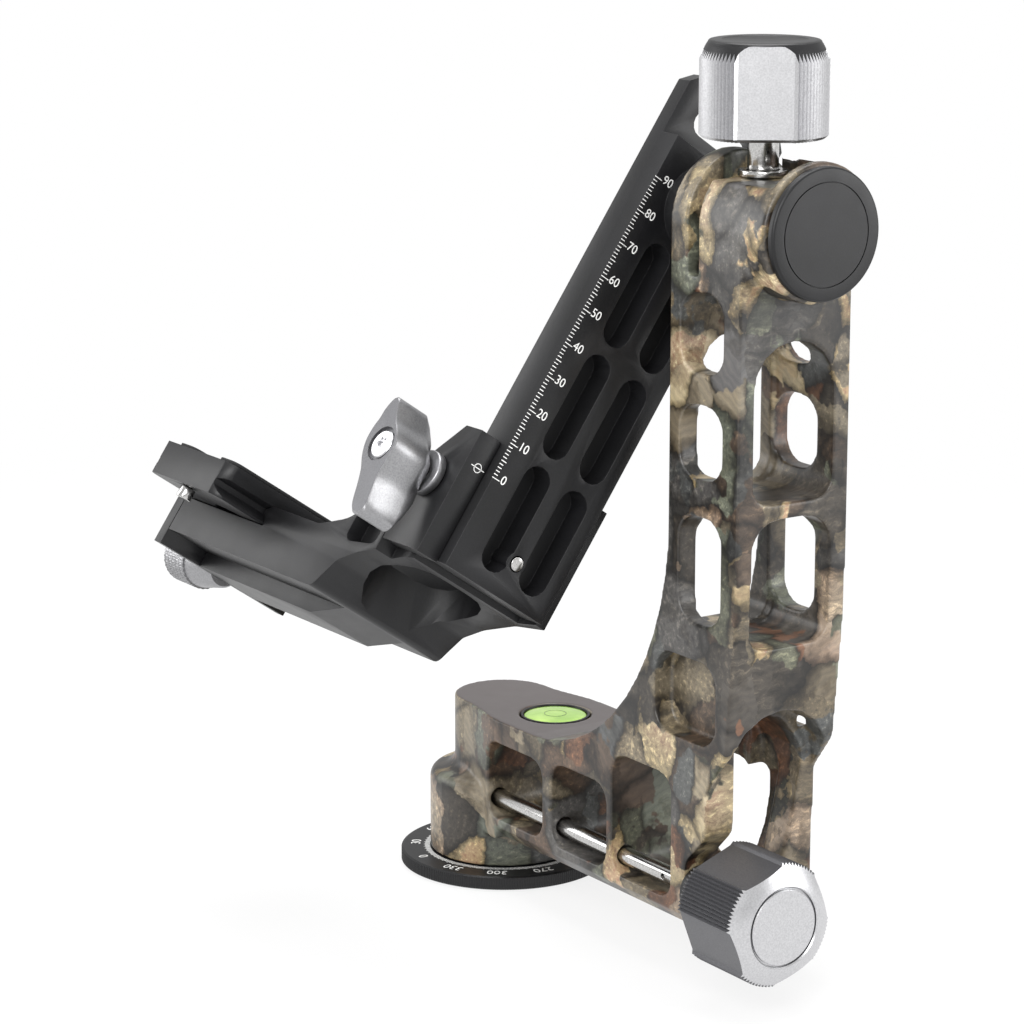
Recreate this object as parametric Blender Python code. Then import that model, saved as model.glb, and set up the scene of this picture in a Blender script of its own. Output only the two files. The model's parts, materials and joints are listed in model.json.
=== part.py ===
# Gimbal head for a long lens, modelled in metres with +Z up.
# The origin is on the pan axis, on the underside of the base disc.
# +X runs along the horizontal arm to the upright; the tilt axis is parallel to X.
import math

import bmesh
import bpy
from mathutils import Matrix, Vector

# Shared clearances
GAP = 0.0003
OVERRUN = 0.004
ROUND_SIDES = 40
SMALL_SIDES = 24
CORNER_STEPS = 4
SMALL_STEPS = 3

# Base disc and pan spindle
DISC_RADIUS = 0.0307
DISC_HEIGHT = 0.0041
DISC_EDGE = 0.0006
BUSH_RADIUS = 0.0068
THREAD_RADIUS = 0.0044
THREAD_DEPTH = 0.0125
SPINDLE_RADIUS = 0.0105
SPINDLE_NECK_RADIUS = 0.0120
SPINDLE_FLANGE_RADIUS = 0.0155
SPINDLE_FLANGE_LOW = 0.0064
SPINDLE_FLANGE_HIGH = 0.0090
SPINDLE_TOP = 0.0400
PAN_RING_RADIUS = 0.0185
WASHER_HEIGHT = 0.0008

# Pan hub of the bracket
HUB_RADIUS = 0.0220
HUB_SHOULDER = 0.0292
HUB_EDGE = 0.0030
HUB_NECK_RADIUS = 0.0146
HUB_NECK_BLEND = 0.0042
HUB_BORE_CEILING = 0.0428
DECK_HEIGHT = 0.0512

# Horizontal arm of the bracket
HALF_WIDTH = 0.0180
ARM_UNDERSIDE = 0.0148
ARM_CHAMFER = 0.0042
NECK_FLARE_START = 0.0010
NECK_FLARE_END = 0.0240
SILL_HEIGHT = 0.0216
WINDOW_CORNER = 0.0050
WINDOW_START_SHARES = (0.150, 0.444, 0.704)
WINDOW_END_SHARES = (0.404, 0.678, 0.942)
WINDOW_TOP_SHARES = (0.860, 0.889, 1.094)

# Upright of the bracket
UPRIGHT_INNER = 0.1055
UPRIGHT_OUTER = 0.1355
UPRIGHT_TAPER = 0.0036
TAPER_TOP = 0.1040
SWEEP_CENTRE_X = 0.0410
SWEEP_CENTRE_Z = 0.1270
SWEEP_STEPS = 14
FOOT_END = 0.1145
FOOT_TOP = 0.0340
LEG_OUTER = 0.1240
LEG_TOP = 0.0570
OVERHANG_HEIGHT = 0.0675
WALL = 0.0052
POST = 0.0050
SIDE_WINDOW_EDGE = 0.0046
SIDE_WINDOW_WIDTH = 0.0184
SIDE_WINDOW_BOTTOM_SHARES = (0.490, 0.679, 0.815)
SIDE_WINDOW_TOP_SHARES = (0.630, 0.774, 0.917)
SIDE_WINDOW_CORNER = 0.0068
FRONT_WINDOW_BOTTOM_SHARES = (0.465, 0.6545)
FRONT_WINDOW_TOP_SHARES = (0.633, 0.859)
FRONT_WINDOW_FOOT_CORNER = 0.0055
FRONT_WINDOW_CROWN_SHARES = (0.65, 0.97)
BACK_WINDOW_HALF_WIDTH = 0.0120
ARCH_BOTTOM = 0.0345
ARCH_TOP = 0.0740
ARCH_HALF_WIDTH = 0.0088
BROW_TOP = 0.0775
BROW_HALF_WIDTH = 0.0164
POCKET_START = 0.1000
POCKET_WIDTH = 0.0270
POCKET_BOTTOM = 0.0680
POCKET_TOP = 0.0905
POCKET_DEPTH = 0.0060
POCKET_CORNER = 0.0068

# Tilt hub
TILT_HEIGHT = 0.2055
TILT_HUB_RADIUS = 0.0182
TILT_HUB_OVERHANG = 0.0092
TILT_HUB_OUTER = UPRIGHT_OUTER + TILT_HUB_OVERHANG
SLIT_INSET = 0.0072
SLIT_WIDTH = 0.0046
SLIT_START = UPRIGHT_INNER + SLIT_INSET
SLIT_END = SLIT_START + SLIT_WIDTH
SLIT_DROP = 0.0130
SLIT_BOTTOM = TILT_HEIGHT - SLIT_DROP
SEAT_LIFT = 0.0119
SEAT_HEIGHT = TILT_HEIGHT + SEAT_LIFT
SEAT_RADIUS = 0.0090
AXLE_RADIUS = 0.0080
AXLE_INSET = 0.0047
AXLE_END = TILT_HUB_OUTER - AXLE_INSET
BEARING_RADIUS = 0.0122
BEARING_WIDTH = 0.0060
BEARING_BORE_DEPTH = 0.0066
OUTER_BEARING_DEPTH = 0.0120
TILT_CAP_RADIUS = 0.0172
TILT_CAP_RIM = 0.0022
TILT_CAP_GROOVE_RADIUS = 0.0139
GROOVE_WIDTH = 0.0004
GROOVE_DEPTH = 0.0003

# Level
LEVEL_X = 0.0268
LEVEL_RADIUS = 0.0093
LEVEL_RING = 0.0007
LEVEL_DEPTH = 0.0042

# Pan lock: brake shoe, rod and knob
ROD_Y = -0.0129
ROD_Z = 0.0255
ROD_RADIUS = 0.0025
ROD_ROOM = 0.0038
SHOE_LENGTH = 0.0120
SHOE_START = -0.0060
ROD_HOLE_RADIUS = 0.0009
ROD_HOLE_X = 0.1010
PAN_KNOB_BACK = 0.1265
PAN_KNOB_FRONT = 0.1532
KNOB_RADIUS = 0.0157
KNOB_TEETH = 9
KNOB_TOOTH_DEPTH = 0.0006
KNOB_ARC_HALF_ANGLE = math.radians(24.0)
PAN_KNOB_TURN = math.radians(-19.0)
PAN_KNOB_CHAMFER = 0.0048
CHAMFER_SHARE = 0.7
PAN_RECESS_RADIUS = 0.0108
PAN_RECESS_DEPTH = 0.0012
PAN_INSERT_RADIUS = 0.0102
PAN_BOSS_RADIUS = 0.0070
PAN_TRAVEL = 0.0010

# Tilt lock: shoe, stud, knob and its cap
TILT_KNOB_INSET = 0.0151
TILT_KNOB_X = UPRIGHT_INNER + TILT_KNOB_INSET
TILT_STUD_RADIUS = 0.0041
TILT_FLANGE_RADIUS = 0.0065
TILT_FLANGE_HEIGHT = 0.0016
TILT_KNOB_CLEARANCE = 0.0102
TILT_KNOB_BOTTOM = SEAT_HEIGHT + TILT_KNOB_CLEARANCE
TILT_KNOB_HEIGHT = 0.0210
TILT_KNOB_TOP = TILT_KNOB_BOTTOM + TILT_KNOB_HEIGHT
TILT_KNOB_RADIUS = 0.0169
TILT_KNOB_TURN = math.radians(-38.0)
KNOB_CAP_HEIGHT = 0.0040
TILT_CAP_TOP = TILT_KNOB_TOP + KNOB_CAP_HEIGHT
TILT_KNOB_CHAMFER = 0.0012
KNOB_CAP_RADIUS = 0.0164
KNOB_CAP_DISH_RADIUS = 0.0108
KNOB_CAP_DISH_DEPTH = 0.0008
STUD_TRAVEL_ROOM = 0.0010

# Swing arm, in its own frame: X along the tilt axis, Y across, Z along the arm
TILT_ANGLE = math.radians(34.5)
ARM_BOSS_LENGTH = 0.0109
BOSS_RUN = 0.0003
ARM_FACE = UPRIGHT_INNER - BOSS_RUN - ARM_BOSS_LENGTH
ARM_THICKNESS = 0.0110
ARM_BOTTOM = -0.1157
ARM_TOP = 0.0315
ARM_HALF = 0.0190
ARM_FACE_HALF = 0.0180
ARM_EDGE = 0.0030
ARM_TIP_CHAMFER = 0.0040
ARM_BOSS_RADIUS = 0.0120
ARM_POCKET_BOTTOM_SHARES = (0.960, 0.670, 0.380)
ARM_POCKET_TOP_SHARES = (0.698, 0.409, 0.119)
ARM_POCKET_START_SHARES = (-0.510, 0.225)
ARM_POCKET_END_SHARES = (-0.035, 0.725)
ARM_POCKET_DEPTH = 0.0075
TIP_FACE_CUT = 0.0060
TIP_CUT_START = 0.0125
TIP_WINDOW_BOTTOM = 0.0145
TIP_WINDOW_TOP = 0.0245
TIP_WINDOW_HALF = 0.0115
TIP_CORNER = 0.0040
STOP_SCREW_U = -0.1057
STOP_SCREW_V = 0.0018
STOP_SCREW_RADIUS = 0.0019
STOP_SCREW_BOSS_RADIUS = 0.0032
STOP_SCREW_DEPTH = 0.0040

# Cradle that slides on the swing arm
CRADLE_NEAR = 0.0258
CRADLE_FAR = 0.0221
CLAMP_BOTTOM = -0.1162
CLAMP_TOP = -0.0808
CLAMP_REVEAL = 0.0031
CLAMP_FACE = ARM_FACE - CLAMP_REVEAL
JAW_THICKNESS = 0.0058
JAW_DEPTH = 0.0172
JAW_BACK = CLAMP_FACE - JAW_DEPTH
PLATFORM_TOP = -0.1246
PLATFORM_BOTTOM = -0.1350
PLATFORM_END = -0.0240
PLATFORM_ROOT = 0.0440
SPINE_BOTTOM = -0.1396
SPINE_HALF = 0.0110
SPINE_END = 0.0380
SPINE_RAMP = 0.0150
UPPER_CURVE_SHARES = ((0.000, 0.303), (0.250, 0.380), (0.770, 0.830), (0.915, 0.985), (1.000, 1.000))
LOWER_CURVE_SHARES = (
    (1.000, 0.347), (0.740, 0.315), (0.490, 0.238), (0.345, 0.165), (0.290, 0.085), (0.235, 0.000),
)
CURVE_CORNER = 0.0120
HEEL_CORNER = 0.0030
SCOOP_START = 0.0560
SCOOP_WALL = 0.0030
SCOOP_LEFT = -0.0175
SCOOP_RIGHT = 0.0145
SCOOP_CEILING_START = -0.1195
SCOOP_CEILING_END = -0.1035
SCOOP_CORNER = 0.0115
SIDE_POCKET_START = 0.0584
SIDE_POCKET_WEB = 0.0018
SIDE_POCKET_BOTTOM = -0.1204
SIDE_POCKET_TOP = -0.1075
SIDE_POCKET_RISE = 0.0050
SIDE_POCKET_DEPTH = 0.0050
SIDE_POCKET_CORNER = 0.0025
LIP_TIP = 0.0166
LIP_LOW = -0.1211
LIP_HIGH = -0.1201
LIP_TOP = -0.1186
LIP_SHOULDER = -0.1234

# Rail clamp screw and wing knob
WING_INSET = 0.0109
WING_X = CLAMP_FACE - WING_INSET
WING_U = -0.0965
WING_SCREW_RADIUS = 0.0022
WING_LENGTH = 0.0168
WING_HUB_RADIUS = 0.0061
WING_CORNER_CUT = 0.0165
WING_BACK = -0.0290
WING_FRONT = -0.0440
WING_COLLAR_RADIUS = 0.0062
WING_TURN = math.radians(15.8)
WING_SHARPNESS = 8
WING_STEPS = 72
WING_SEAT_RADIUS = 0.0044
WING_SEAT_DEPTH = 0.0020

# Platform clamp and quick-release plate
PLATE_HALF_WIDTH = 0.0190
PLATE_HALF_LENGTH = 0.0440
PLATE_TOP = -0.1145
PLATE_BOTTOM = -0.1243
PLATE_GROOVE = 0.0030
PLATE_CORNER = 0.0050
PAD_HEIGHT = 0.0010
PAD_WIDTH = 0.0105
PAD_INSET = 0.0030
PLATE_SCREW_RADIUS = 0.0022
PLATE_SCREW_SHANK = 0.0013
PLATE_SCREW_DROP = 0.0035
CAMERA_SCREW_RADIUS = 0.0031
CAMERA_SCREW_HEAD = 0.0072
CAMERA_HEAD_DEPTH = 0.0045
PLATFORM_JAW_END = -0.0280
PLATFORM_JAW_BOTTOM = -0.1396
PLATFORM_SCREW_U = -0.1362
PLATFORM_SCREW_TIP = 0.0100
PLATFORM_KNOB_RADIUS = 0.0081
PLATFORM_KNOB_END = -0.0515
PLATFORM_KNOB_START = -0.0395
PLATFORM_KNOB_NECK = 0.0050
PLATFORM_SCREW_RADIUS = 0.0020


def clear_scene():
    for item in list(bpy.data.objects):
        bpy.data.objects.remove(item)


def finish(name, colour, roughness, metallic):
    """Give a named surface finish, made once and shared."""
    found = bpy.data.materials.get(name)
    if found:
        return found
    made = bpy.data.materials.new(name)
    made.use_nodes = True
    shader = made.node_tree.nodes["Principled BSDF"]
    shader.inputs["Base Color"].default_value = (*colour, 1)
    shader.inputs["Roughness"].default_value = roughness
    shader.inputs["Metallic"].default_value = metallic
    return made


def camouflage():
    return finish("printed_camouflage", (0.30, 0.25, 0.18), 0.50, 0)


def black_anodised():
    return finish("black_anodised_aluminium", (0.018, 0.018, 0.020), 0.42, 0)


def satin_aluminium():
    return finish("satin_aluminium", (0.66, 0.66, 0.67), 0.33, 1)


def grey_aluminium():
    return finish("grey_anodised_aluminium", (0.30, 0.30, 0.32), 0.38, 1)


def steel():
    return finish("polished_steel", (0.60, 0.59, 0.58), 0.18, 1)


def brass():
    return finish("turned_brass", (0.62, 0.45, 0.20), 0.35, 1)


def rubber():
    return finish("moulded_rubber", (0.030, 0.030, 0.032), 0.85, 0)


def nylon():
    return finish("moulded_nylon", (0.55, 0.54, 0.50), 0.50, 0)


def green_acrylic():
    return finish("green_acrylic", (0.42, 0.62, 0.05), 0.08, 0)


def frame(name, place, parent=None, turn=0.0):
    """Make an empty that carries the pieces of one moving group."""
    made = bpy.data.objects.new(name, None)
    made.location = place
    made.rotation_euler = (turn, 0, 0)
    made.parent = parent
    bpy.context.scene.collection.objects.link(made)
    return made


def place_mesh(name, shape, carrier, surface=None):
    bmesh.ops.recalc_face_normals(shape, faces=shape.faces)
    mesh = bpy.data.meshes.new(name)
    shape.to_mesh(mesh)
    shape.free()
    mesh.shade_smooth()
    mesh.set_sharp_from_angle(angle=math.radians(30.0))
    made = bpy.data.objects.new(name, mesh)
    made.parent = carrier
    bpy.context.scene.collection.objects.link(made)
    if surface:
        mesh.materials.append(surface)
    else:
        made.hide_render = True
        made.display_type = "WIRE"
    return made


def along_axis(axis, first, second, height):
    """Place an outline point on the plane square to the axis."""
    if axis == "X":
        return Vector((height, first, second))
    if axis == "Y":
        return Vector((first, height, second))
    return Vector((first, second, height))


def prism(name, outline, low, high, axis, carrier, surface=None):
    """Extrude a closed outline along an axis."""
    shape = bmesh.new()
    floor = [shape.verts.new(along_axis(axis, a, b, low)) for a, b in outline]
    face = shape.faces.new(floor)
    made = bmesh.ops.extrude_face_region(shape, geom=[face])
    step = along_axis(axis, 0, 0, high - low)
    moved = [item for item in made["geom"] if isinstance(item, bmesh.types.BMVert)]
    bmesh.ops.translate(shape, verts=moved, vec=step)
    return place_mesh(name, shape, carrier, surface)


def turned(name, profile, axis, centre, carrier, surface=None, sides=ROUND_SIDES):
    """Turn a profile of (radius, height) pairs about an axis through the centre.

    A profile that starts and ends on the axis makes a solid, any other a ring.
    """
    shape = bmesh.new()
    across, over = centre
    rings = []
    for radius, height in profile:
        if radius == 0:
            rings.append([shape.verts.new(along_axis(axis, across, over, height))])
            continue
        ring = []
        for step in range(sides):
            angle = 2 * math.pi * step / sides
            first = across + radius * math.cos(angle)
            second = over + radius * math.sin(angle)
            ring.append(shape.verts.new(along_axis(axis, first, second, height)))
        rings.append(ring)
    pairs = list(zip(rings, rings[1:]))
    if profile[0][0] > 0:
        pairs.append((rings[-1], rings[0]))
    for lower, upper in pairs:
        for step in range(sides):
            following = (step + 1) % sides
            if len(lower) == 1:
                corners = (lower[0], upper[following], upper[step])
            elif len(upper) == 1:
                corners = (lower[step], lower[following], upper[0])
            else:
                corners = (lower[step], lower[following], upper[following], upper[step])
            shape.faces.new(corners)
    return place_mesh(name, shape, carrier, surface)


def rod(name, radius, low, high, axis, centre, carrier, surface=None, sides=SMALL_SIDES):
    """Make a plain round bar."""
    profile = ((0, low), (radius, low), (radius, high), (0, high))
    return turned(name, profile, axis, centre, carrier, surface, sides)


def sleeve(name, inner, outer, low, high, axis, centre, carrier, surface, sides=ROUND_SIDES):
    """Make a plain bush or washer."""
    profile = ((inner, low), (outer, low), (outer, high), (inner, high))
    return turned(name, profile, axis, centre, carrier, surface, sides)


def boolean(body, tool, operation):
    tool.hide_render = True
    tool.display_type = "WIRE"
    step = body.modifiers.new(operation.lower() + "_" + tool.name, "BOOLEAN")
    step.operation = operation
    step.solver = "EXACT"
    step.object = tool


def cut(body, *tools):
    for tool in tools:
        boolean(body, tool, "DIFFERENCE")


def fuse(body, *tools):
    for tool in tools:
        boolean(body, tool, "UNION")


def keep_common(body, tool):
    boolean(body, tool, "INTERSECT")


def rounded(points, radii, steps=CORNER_STEPS):
    """Round the corners of an outline with arcs; a radius of zero keeps a corner sharp."""
    outline = []
    count = len(points)
    for index, (point, radius) in enumerate(zip(points, radii)):
        corner = Vector(point)
        before = (Vector(points[index - 1]) - corner)
        after = (Vector(points[(index + 1) % count]) - corner)
        if radius == 0:
            outline.append(tuple(corner))
            continue
        half = before.angle(after) / 2
        reach = min(radius / math.tan(half), before.length / 2, after.length / 2)
        radius = reach * math.tan(half)
        start = corner + before.normalized() * reach
        end = corner + after.normalized() * reach
        middle = corner + (before.normalized() + after.normalized()).normalized() * (radius / math.sin(half))
        first = start - middle
        sweep = first.angle_signed(end - middle)
        for step in range(steps + 1):
            turn = Matrix.Rotation(-sweep * step / steps, 2)
            outline.append(tuple(middle + turn @ first))
    return outline


def rounded_box(left, right, low, high, radius, steps=CORNER_STEPS):
    corners = ((left, low), (right, low), (right, high), (left, high))
    return rounded(corners, (radius,) * len(corners), steps)


def arched_box(half, low, high, foot, crown):
    """Outline of an opening with one corner radius at its foot and another at its crown."""
    corners = ((-half, low), (half, low), (half, high), (-half, high))
    return rounded(corners, (foot, foot, crown, crown))


def arc(centre, radius, start, end, steps):
    """Points of an arc, with a radius for each direction."""
    across, over = radius
    points = []
    for step in range(steps + 1):
        angle = start + (end - start) * step / steps
        points.append((centre[0] + across * math.cos(angle), centre[1] + over * math.sin(angle)))
    return points


def knob_outline(radius, turn):
    """Four toothed arcs with flats between them."""
    outline = []
    lobes = 4
    steps = 2 * KNOB_TEETH
    for lobe in range(lobes):
        middle = turn + lobe * 2 * math.pi / lobes
        for step in range(steps + 1):
            angle = middle + KNOB_ARC_HALF_ANGLE * (2 * step / steps - 1)
            reach = radius if step % 2 else radius - KNOB_TOOTH_DEPTH
            outline.append((reach * math.cos(angle), reach * math.sin(angle)))
    return outline


def toothed_knob(name, radius, turn, low, high, axis, centre, envelope, carrier, surface):
    """Cut a toothed bar to the turned envelope of the knob."""
    outline = [(centre[0] + a, centre[1] + b) for a, b in knob_outline(radius, turn)]
    knob = prism(name, outline, low - OVERRUN, high + OVERRUN, axis, carrier, surface)
    keep_common(knob, turned("cutter_envelope_" + name, envelope, axis, centre, carrier))
    return knob


def make_base():
    bore = BUSH_RADIUS + GAP
    profile = (
        (0, 0), (DISC_RADIUS - DISC_EDGE, 0), (DISC_RADIUS, DISC_EDGE),
        (DISC_RADIUS, DISC_HEIGHT - DISC_EDGE), (DISC_RADIUS - DISC_EDGE, DISC_HEIGHT), (0, DISC_HEIGHT),
    )
    disc = turned("base_disc", profile, "Z", (0, 0), None, black_anodised(), 2 * ROUND_SIDES)
    cut(disc, rod("cutter_disc_bore", bore, -OVERRUN, DISC_HEIGHT + OVERRUN, "Z", (0, 0), None, sides=ROUND_SIDES))
    low = DISC_HEIGHT + GAP
    profile = (
        (0, low), (SPINDLE_NECK_RADIUS, low), (SPINDLE_NECK_RADIUS, SPINDLE_FLANGE_LOW),
        (SPINDLE_FLANGE_RADIUS, SPINDLE_FLANGE_LOW), (SPINDLE_FLANGE_RADIUS, SPINDLE_FLANGE_HIGH),
        (SPINDLE_RADIUS, SPINDLE_FLANGE_HIGH), (SPINDLE_RADIUS, SPINDLE_TOP), (0, SPINDLE_TOP),
    )
    spindle = turned("pan_spindle", profile, "Z", (0, 0), None, steel(), SMALL_SIDES)
    cut(spindle, rod("cutter_spindle_thread", bore, 0, THREAD_DEPTH, "Z", (0, 0), None, sides=ROUND_SIDES))
    sleeve("thread_bush", THREAD_RADIUS, BUSH_RADIUS, DISC_EDGE, THREAD_DEPTH - GAP, "Z", (0, 0), None, brass(),
           SMALL_SIDES)


def hub_profile():
    low = DISC_HEIGHT + GAP
    points = [(0, low), (HUB_RADIUS, low)]
    shoulder = (HUB_RADIUS - HUB_EDGE, HUB_SHOULDER - HUB_EDGE)
    points += arc(shoulder, (HUB_EDGE, HUB_EDGE), 0, math.pi / 2, CORNER_STEPS)
    blend_x = HUB_NECK_RADIUS + HUB_NECK_BLEND
    blend_z = HUB_SHOULDER + HUB_NECK_BLEND
    points += arc((blend_x, blend_z), (HUB_NECK_BLEND, HUB_NECK_BLEND), -math.pi / 2, -math.pi, CORNER_STEPS)
    points += [(HUB_NECK_RADIUS, DECK_HEIGHT), (0, DECK_HEIGHT)]
    return points


def neck_outline():
    """Plan of the upper hub and the start of the arm: a round end that flares to the arm's width."""
    half = []
    steps = CORNER_STEPS * 2
    for step in range(steps + 1):
        angle = math.pi - (math.pi / 2) * step / steps
        half.append((HUB_NECK_RADIUS * math.cos(angle), HUB_NECK_RADIUS * math.sin(angle)))
    for step in range(1, steps + 1):
        share = step / steps
        ease = share * share * (3 - 2 * share)
        across = NECK_FLARE_START + (NECK_FLARE_END - NECK_FLARE_START) * share
        half.append((across, HUB_NECK_RADIUS + (HALF_WIDTH - HUB_NECK_RADIUS) * ease))
    lower = [(across, -over) for across, over in reversed(half)]
    return half + lower[:-1]


def side_profile():
    """Side outline of arm and upright, from the arm's underside round to the deck."""
    radii = (UPRIGHT_INNER - SWEEP_CENTRE_X, SWEEP_CENTRE_Z - DECK_HEIGHT)
    sweep = arc((SWEEP_CENTRE_X, SWEEP_CENTRE_Z), radii, 0, -math.pi / 2, SWEEP_STEPS)
    corners = [
        (NECK_FLARE_END - GAP, ARM_UNDERSIDE), (FOOT_END, ARM_UNDERSIDE), (FOOT_END, FOOT_TOP),
        (LEG_OUTER, FOOT_TOP + (LEG_OUTER - FOOT_END)), (LEG_OUTER, LEG_TOP),
        (UPRIGHT_OUTER - UPRIGHT_TAPER, OVERHANG_HEIGHT), (UPRIGHT_OUTER, TAPER_TOP),
        (UPRIGHT_OUTER, TILT_HEIGHT), (UPRIGHT_INNER, TILT_HEIGHT),
    ]
    rounds = (0, POST, POST, POST, POST, POST, TILT_HEIGHT, 0, 0)
    return rounded(corners, rounds) + sweep + [(NECK_FLARE_END - GAP, DECK_HEIGHT)]


def arm_windows(carrier):
    tools = []
    for start, end, top in zip(WINDOW_START_SHARES, WINDOW_END_SHARES, WINDOW_TOP_SHARES):
        name = "cutter_arm_window_%d" % (len(tools) + 1)
        outline = rounded_box(FOOT_END * start, FOOT_END * end, SILL_HEIGHT, DECK_HEIGHT * top, WINDOW_CORNER)
        tools.append(prism(name, outline, -HALF_WIDTH - OVERRUN, HALF_WIDTH + OVERRUN, "Y", carrier))
    return tools


def upright_windows(carrier):
    tools = []
    for low, high in zip(SIDE_WINDOW_BOTTOM_SHARES, SIDE_WINDOW_TOP_SHARES):
        name = "cutter_side_window_%d" % (len(tools) + 1)
        start = UPRIGHT_INNER + SIDE_WINDOW_EDGE
        end = start + SIDE_WINDOW_WIDTH
        outline = rounded_box(start, end, TILT_HEIGHT * low, TILT_HEIGHT * high, SIDE_WINDOW_CORNER)
        tools.append(prism(name, outline, -HALF_WIDTH - OVERRUN, HALF_WIDTH + OVERRUN, "Y", carrier))
    front_half = HALF_WIDTH - POST
    shares = zip(FRONT_WINDOW_BOTTOM_SHARES, FRONT_WINDOW_TOP_SHARES, FRONT_WINDOW_CROWN_SHARES)
    for low_share, high_share, crown_share in shares:
        low = TILT_HEIGHT * low_share
        high = TILT_HEIGHT * high_share
        corner = front_half * crown_share
        name = "cutter_front_window_%d" % (len(tools) + 1)
        outline = arched_box(front_half, low, high, FRONT_WINDOW_FOOT_CORNER, corner)
        tools.append(prism(name, outline, UPRIGHT_INNER + WALL, UPRIGHT_OUTER + OVERRUN, "X", carrier))
        name = "cutter_back_window_%d" % (len(tools) + 1)
        inset = front_half - BACK_WINDOW_HALF_WIDTH
        corner -= inset
        outline = arched_box(BACK_WINDOW_HALF_WIDTH, low + inset, high - inset, FRONT_WINDOW_FOOT_CORNER, corner)
        tools.append(prism(name, outline, SWEEP_CENTRE_X, UPRIGHT_INNER + WALL + GAP, "X", carrier))
    arch = arched_box(ARCH_HALF_WIDTH, ARCH_BOTTOM, ARCH_TOP, POST, ARCH_HALF_WIDTH - GAP)
    arch_start = FOOT_END * WINDOW_START_SHARES[-1] + WALL
    tools.append(prism("cutter_arch", arch, arch_start, UPRIGHT_OUTER + OVERRUN, "X", carrier))
    brow = arched_box(BROW_HALF_WIDTH, ARCH_BOTTOM, BROW_TOP, POST, BROW_HALF_WIDTH - GAP)
    tools.append(prism("cutter_brow", brow, LEG_OUTER, UPRIGHT_OUTER + OVERRUN, "X", carrier))
    pocket = rounded_box(POCKET_START, POCKET_START + POCKET_WIDTH, POCKET_BOTTOM, POCKET_TOP, POCKET_CORNER)
    inner = HALF_WIDTH - POCKET_DEPTH
    tools.append(prism("cutter_pocket_near", pocket, -HALF_WIDTH - OVERRUN, -inner, "Y", carrier))
    tools.append(prism("cutter_pocket_far", pocket, inner, HALF_WIDTH + OVERRUN, "Y", carrier))
    return tools


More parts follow.
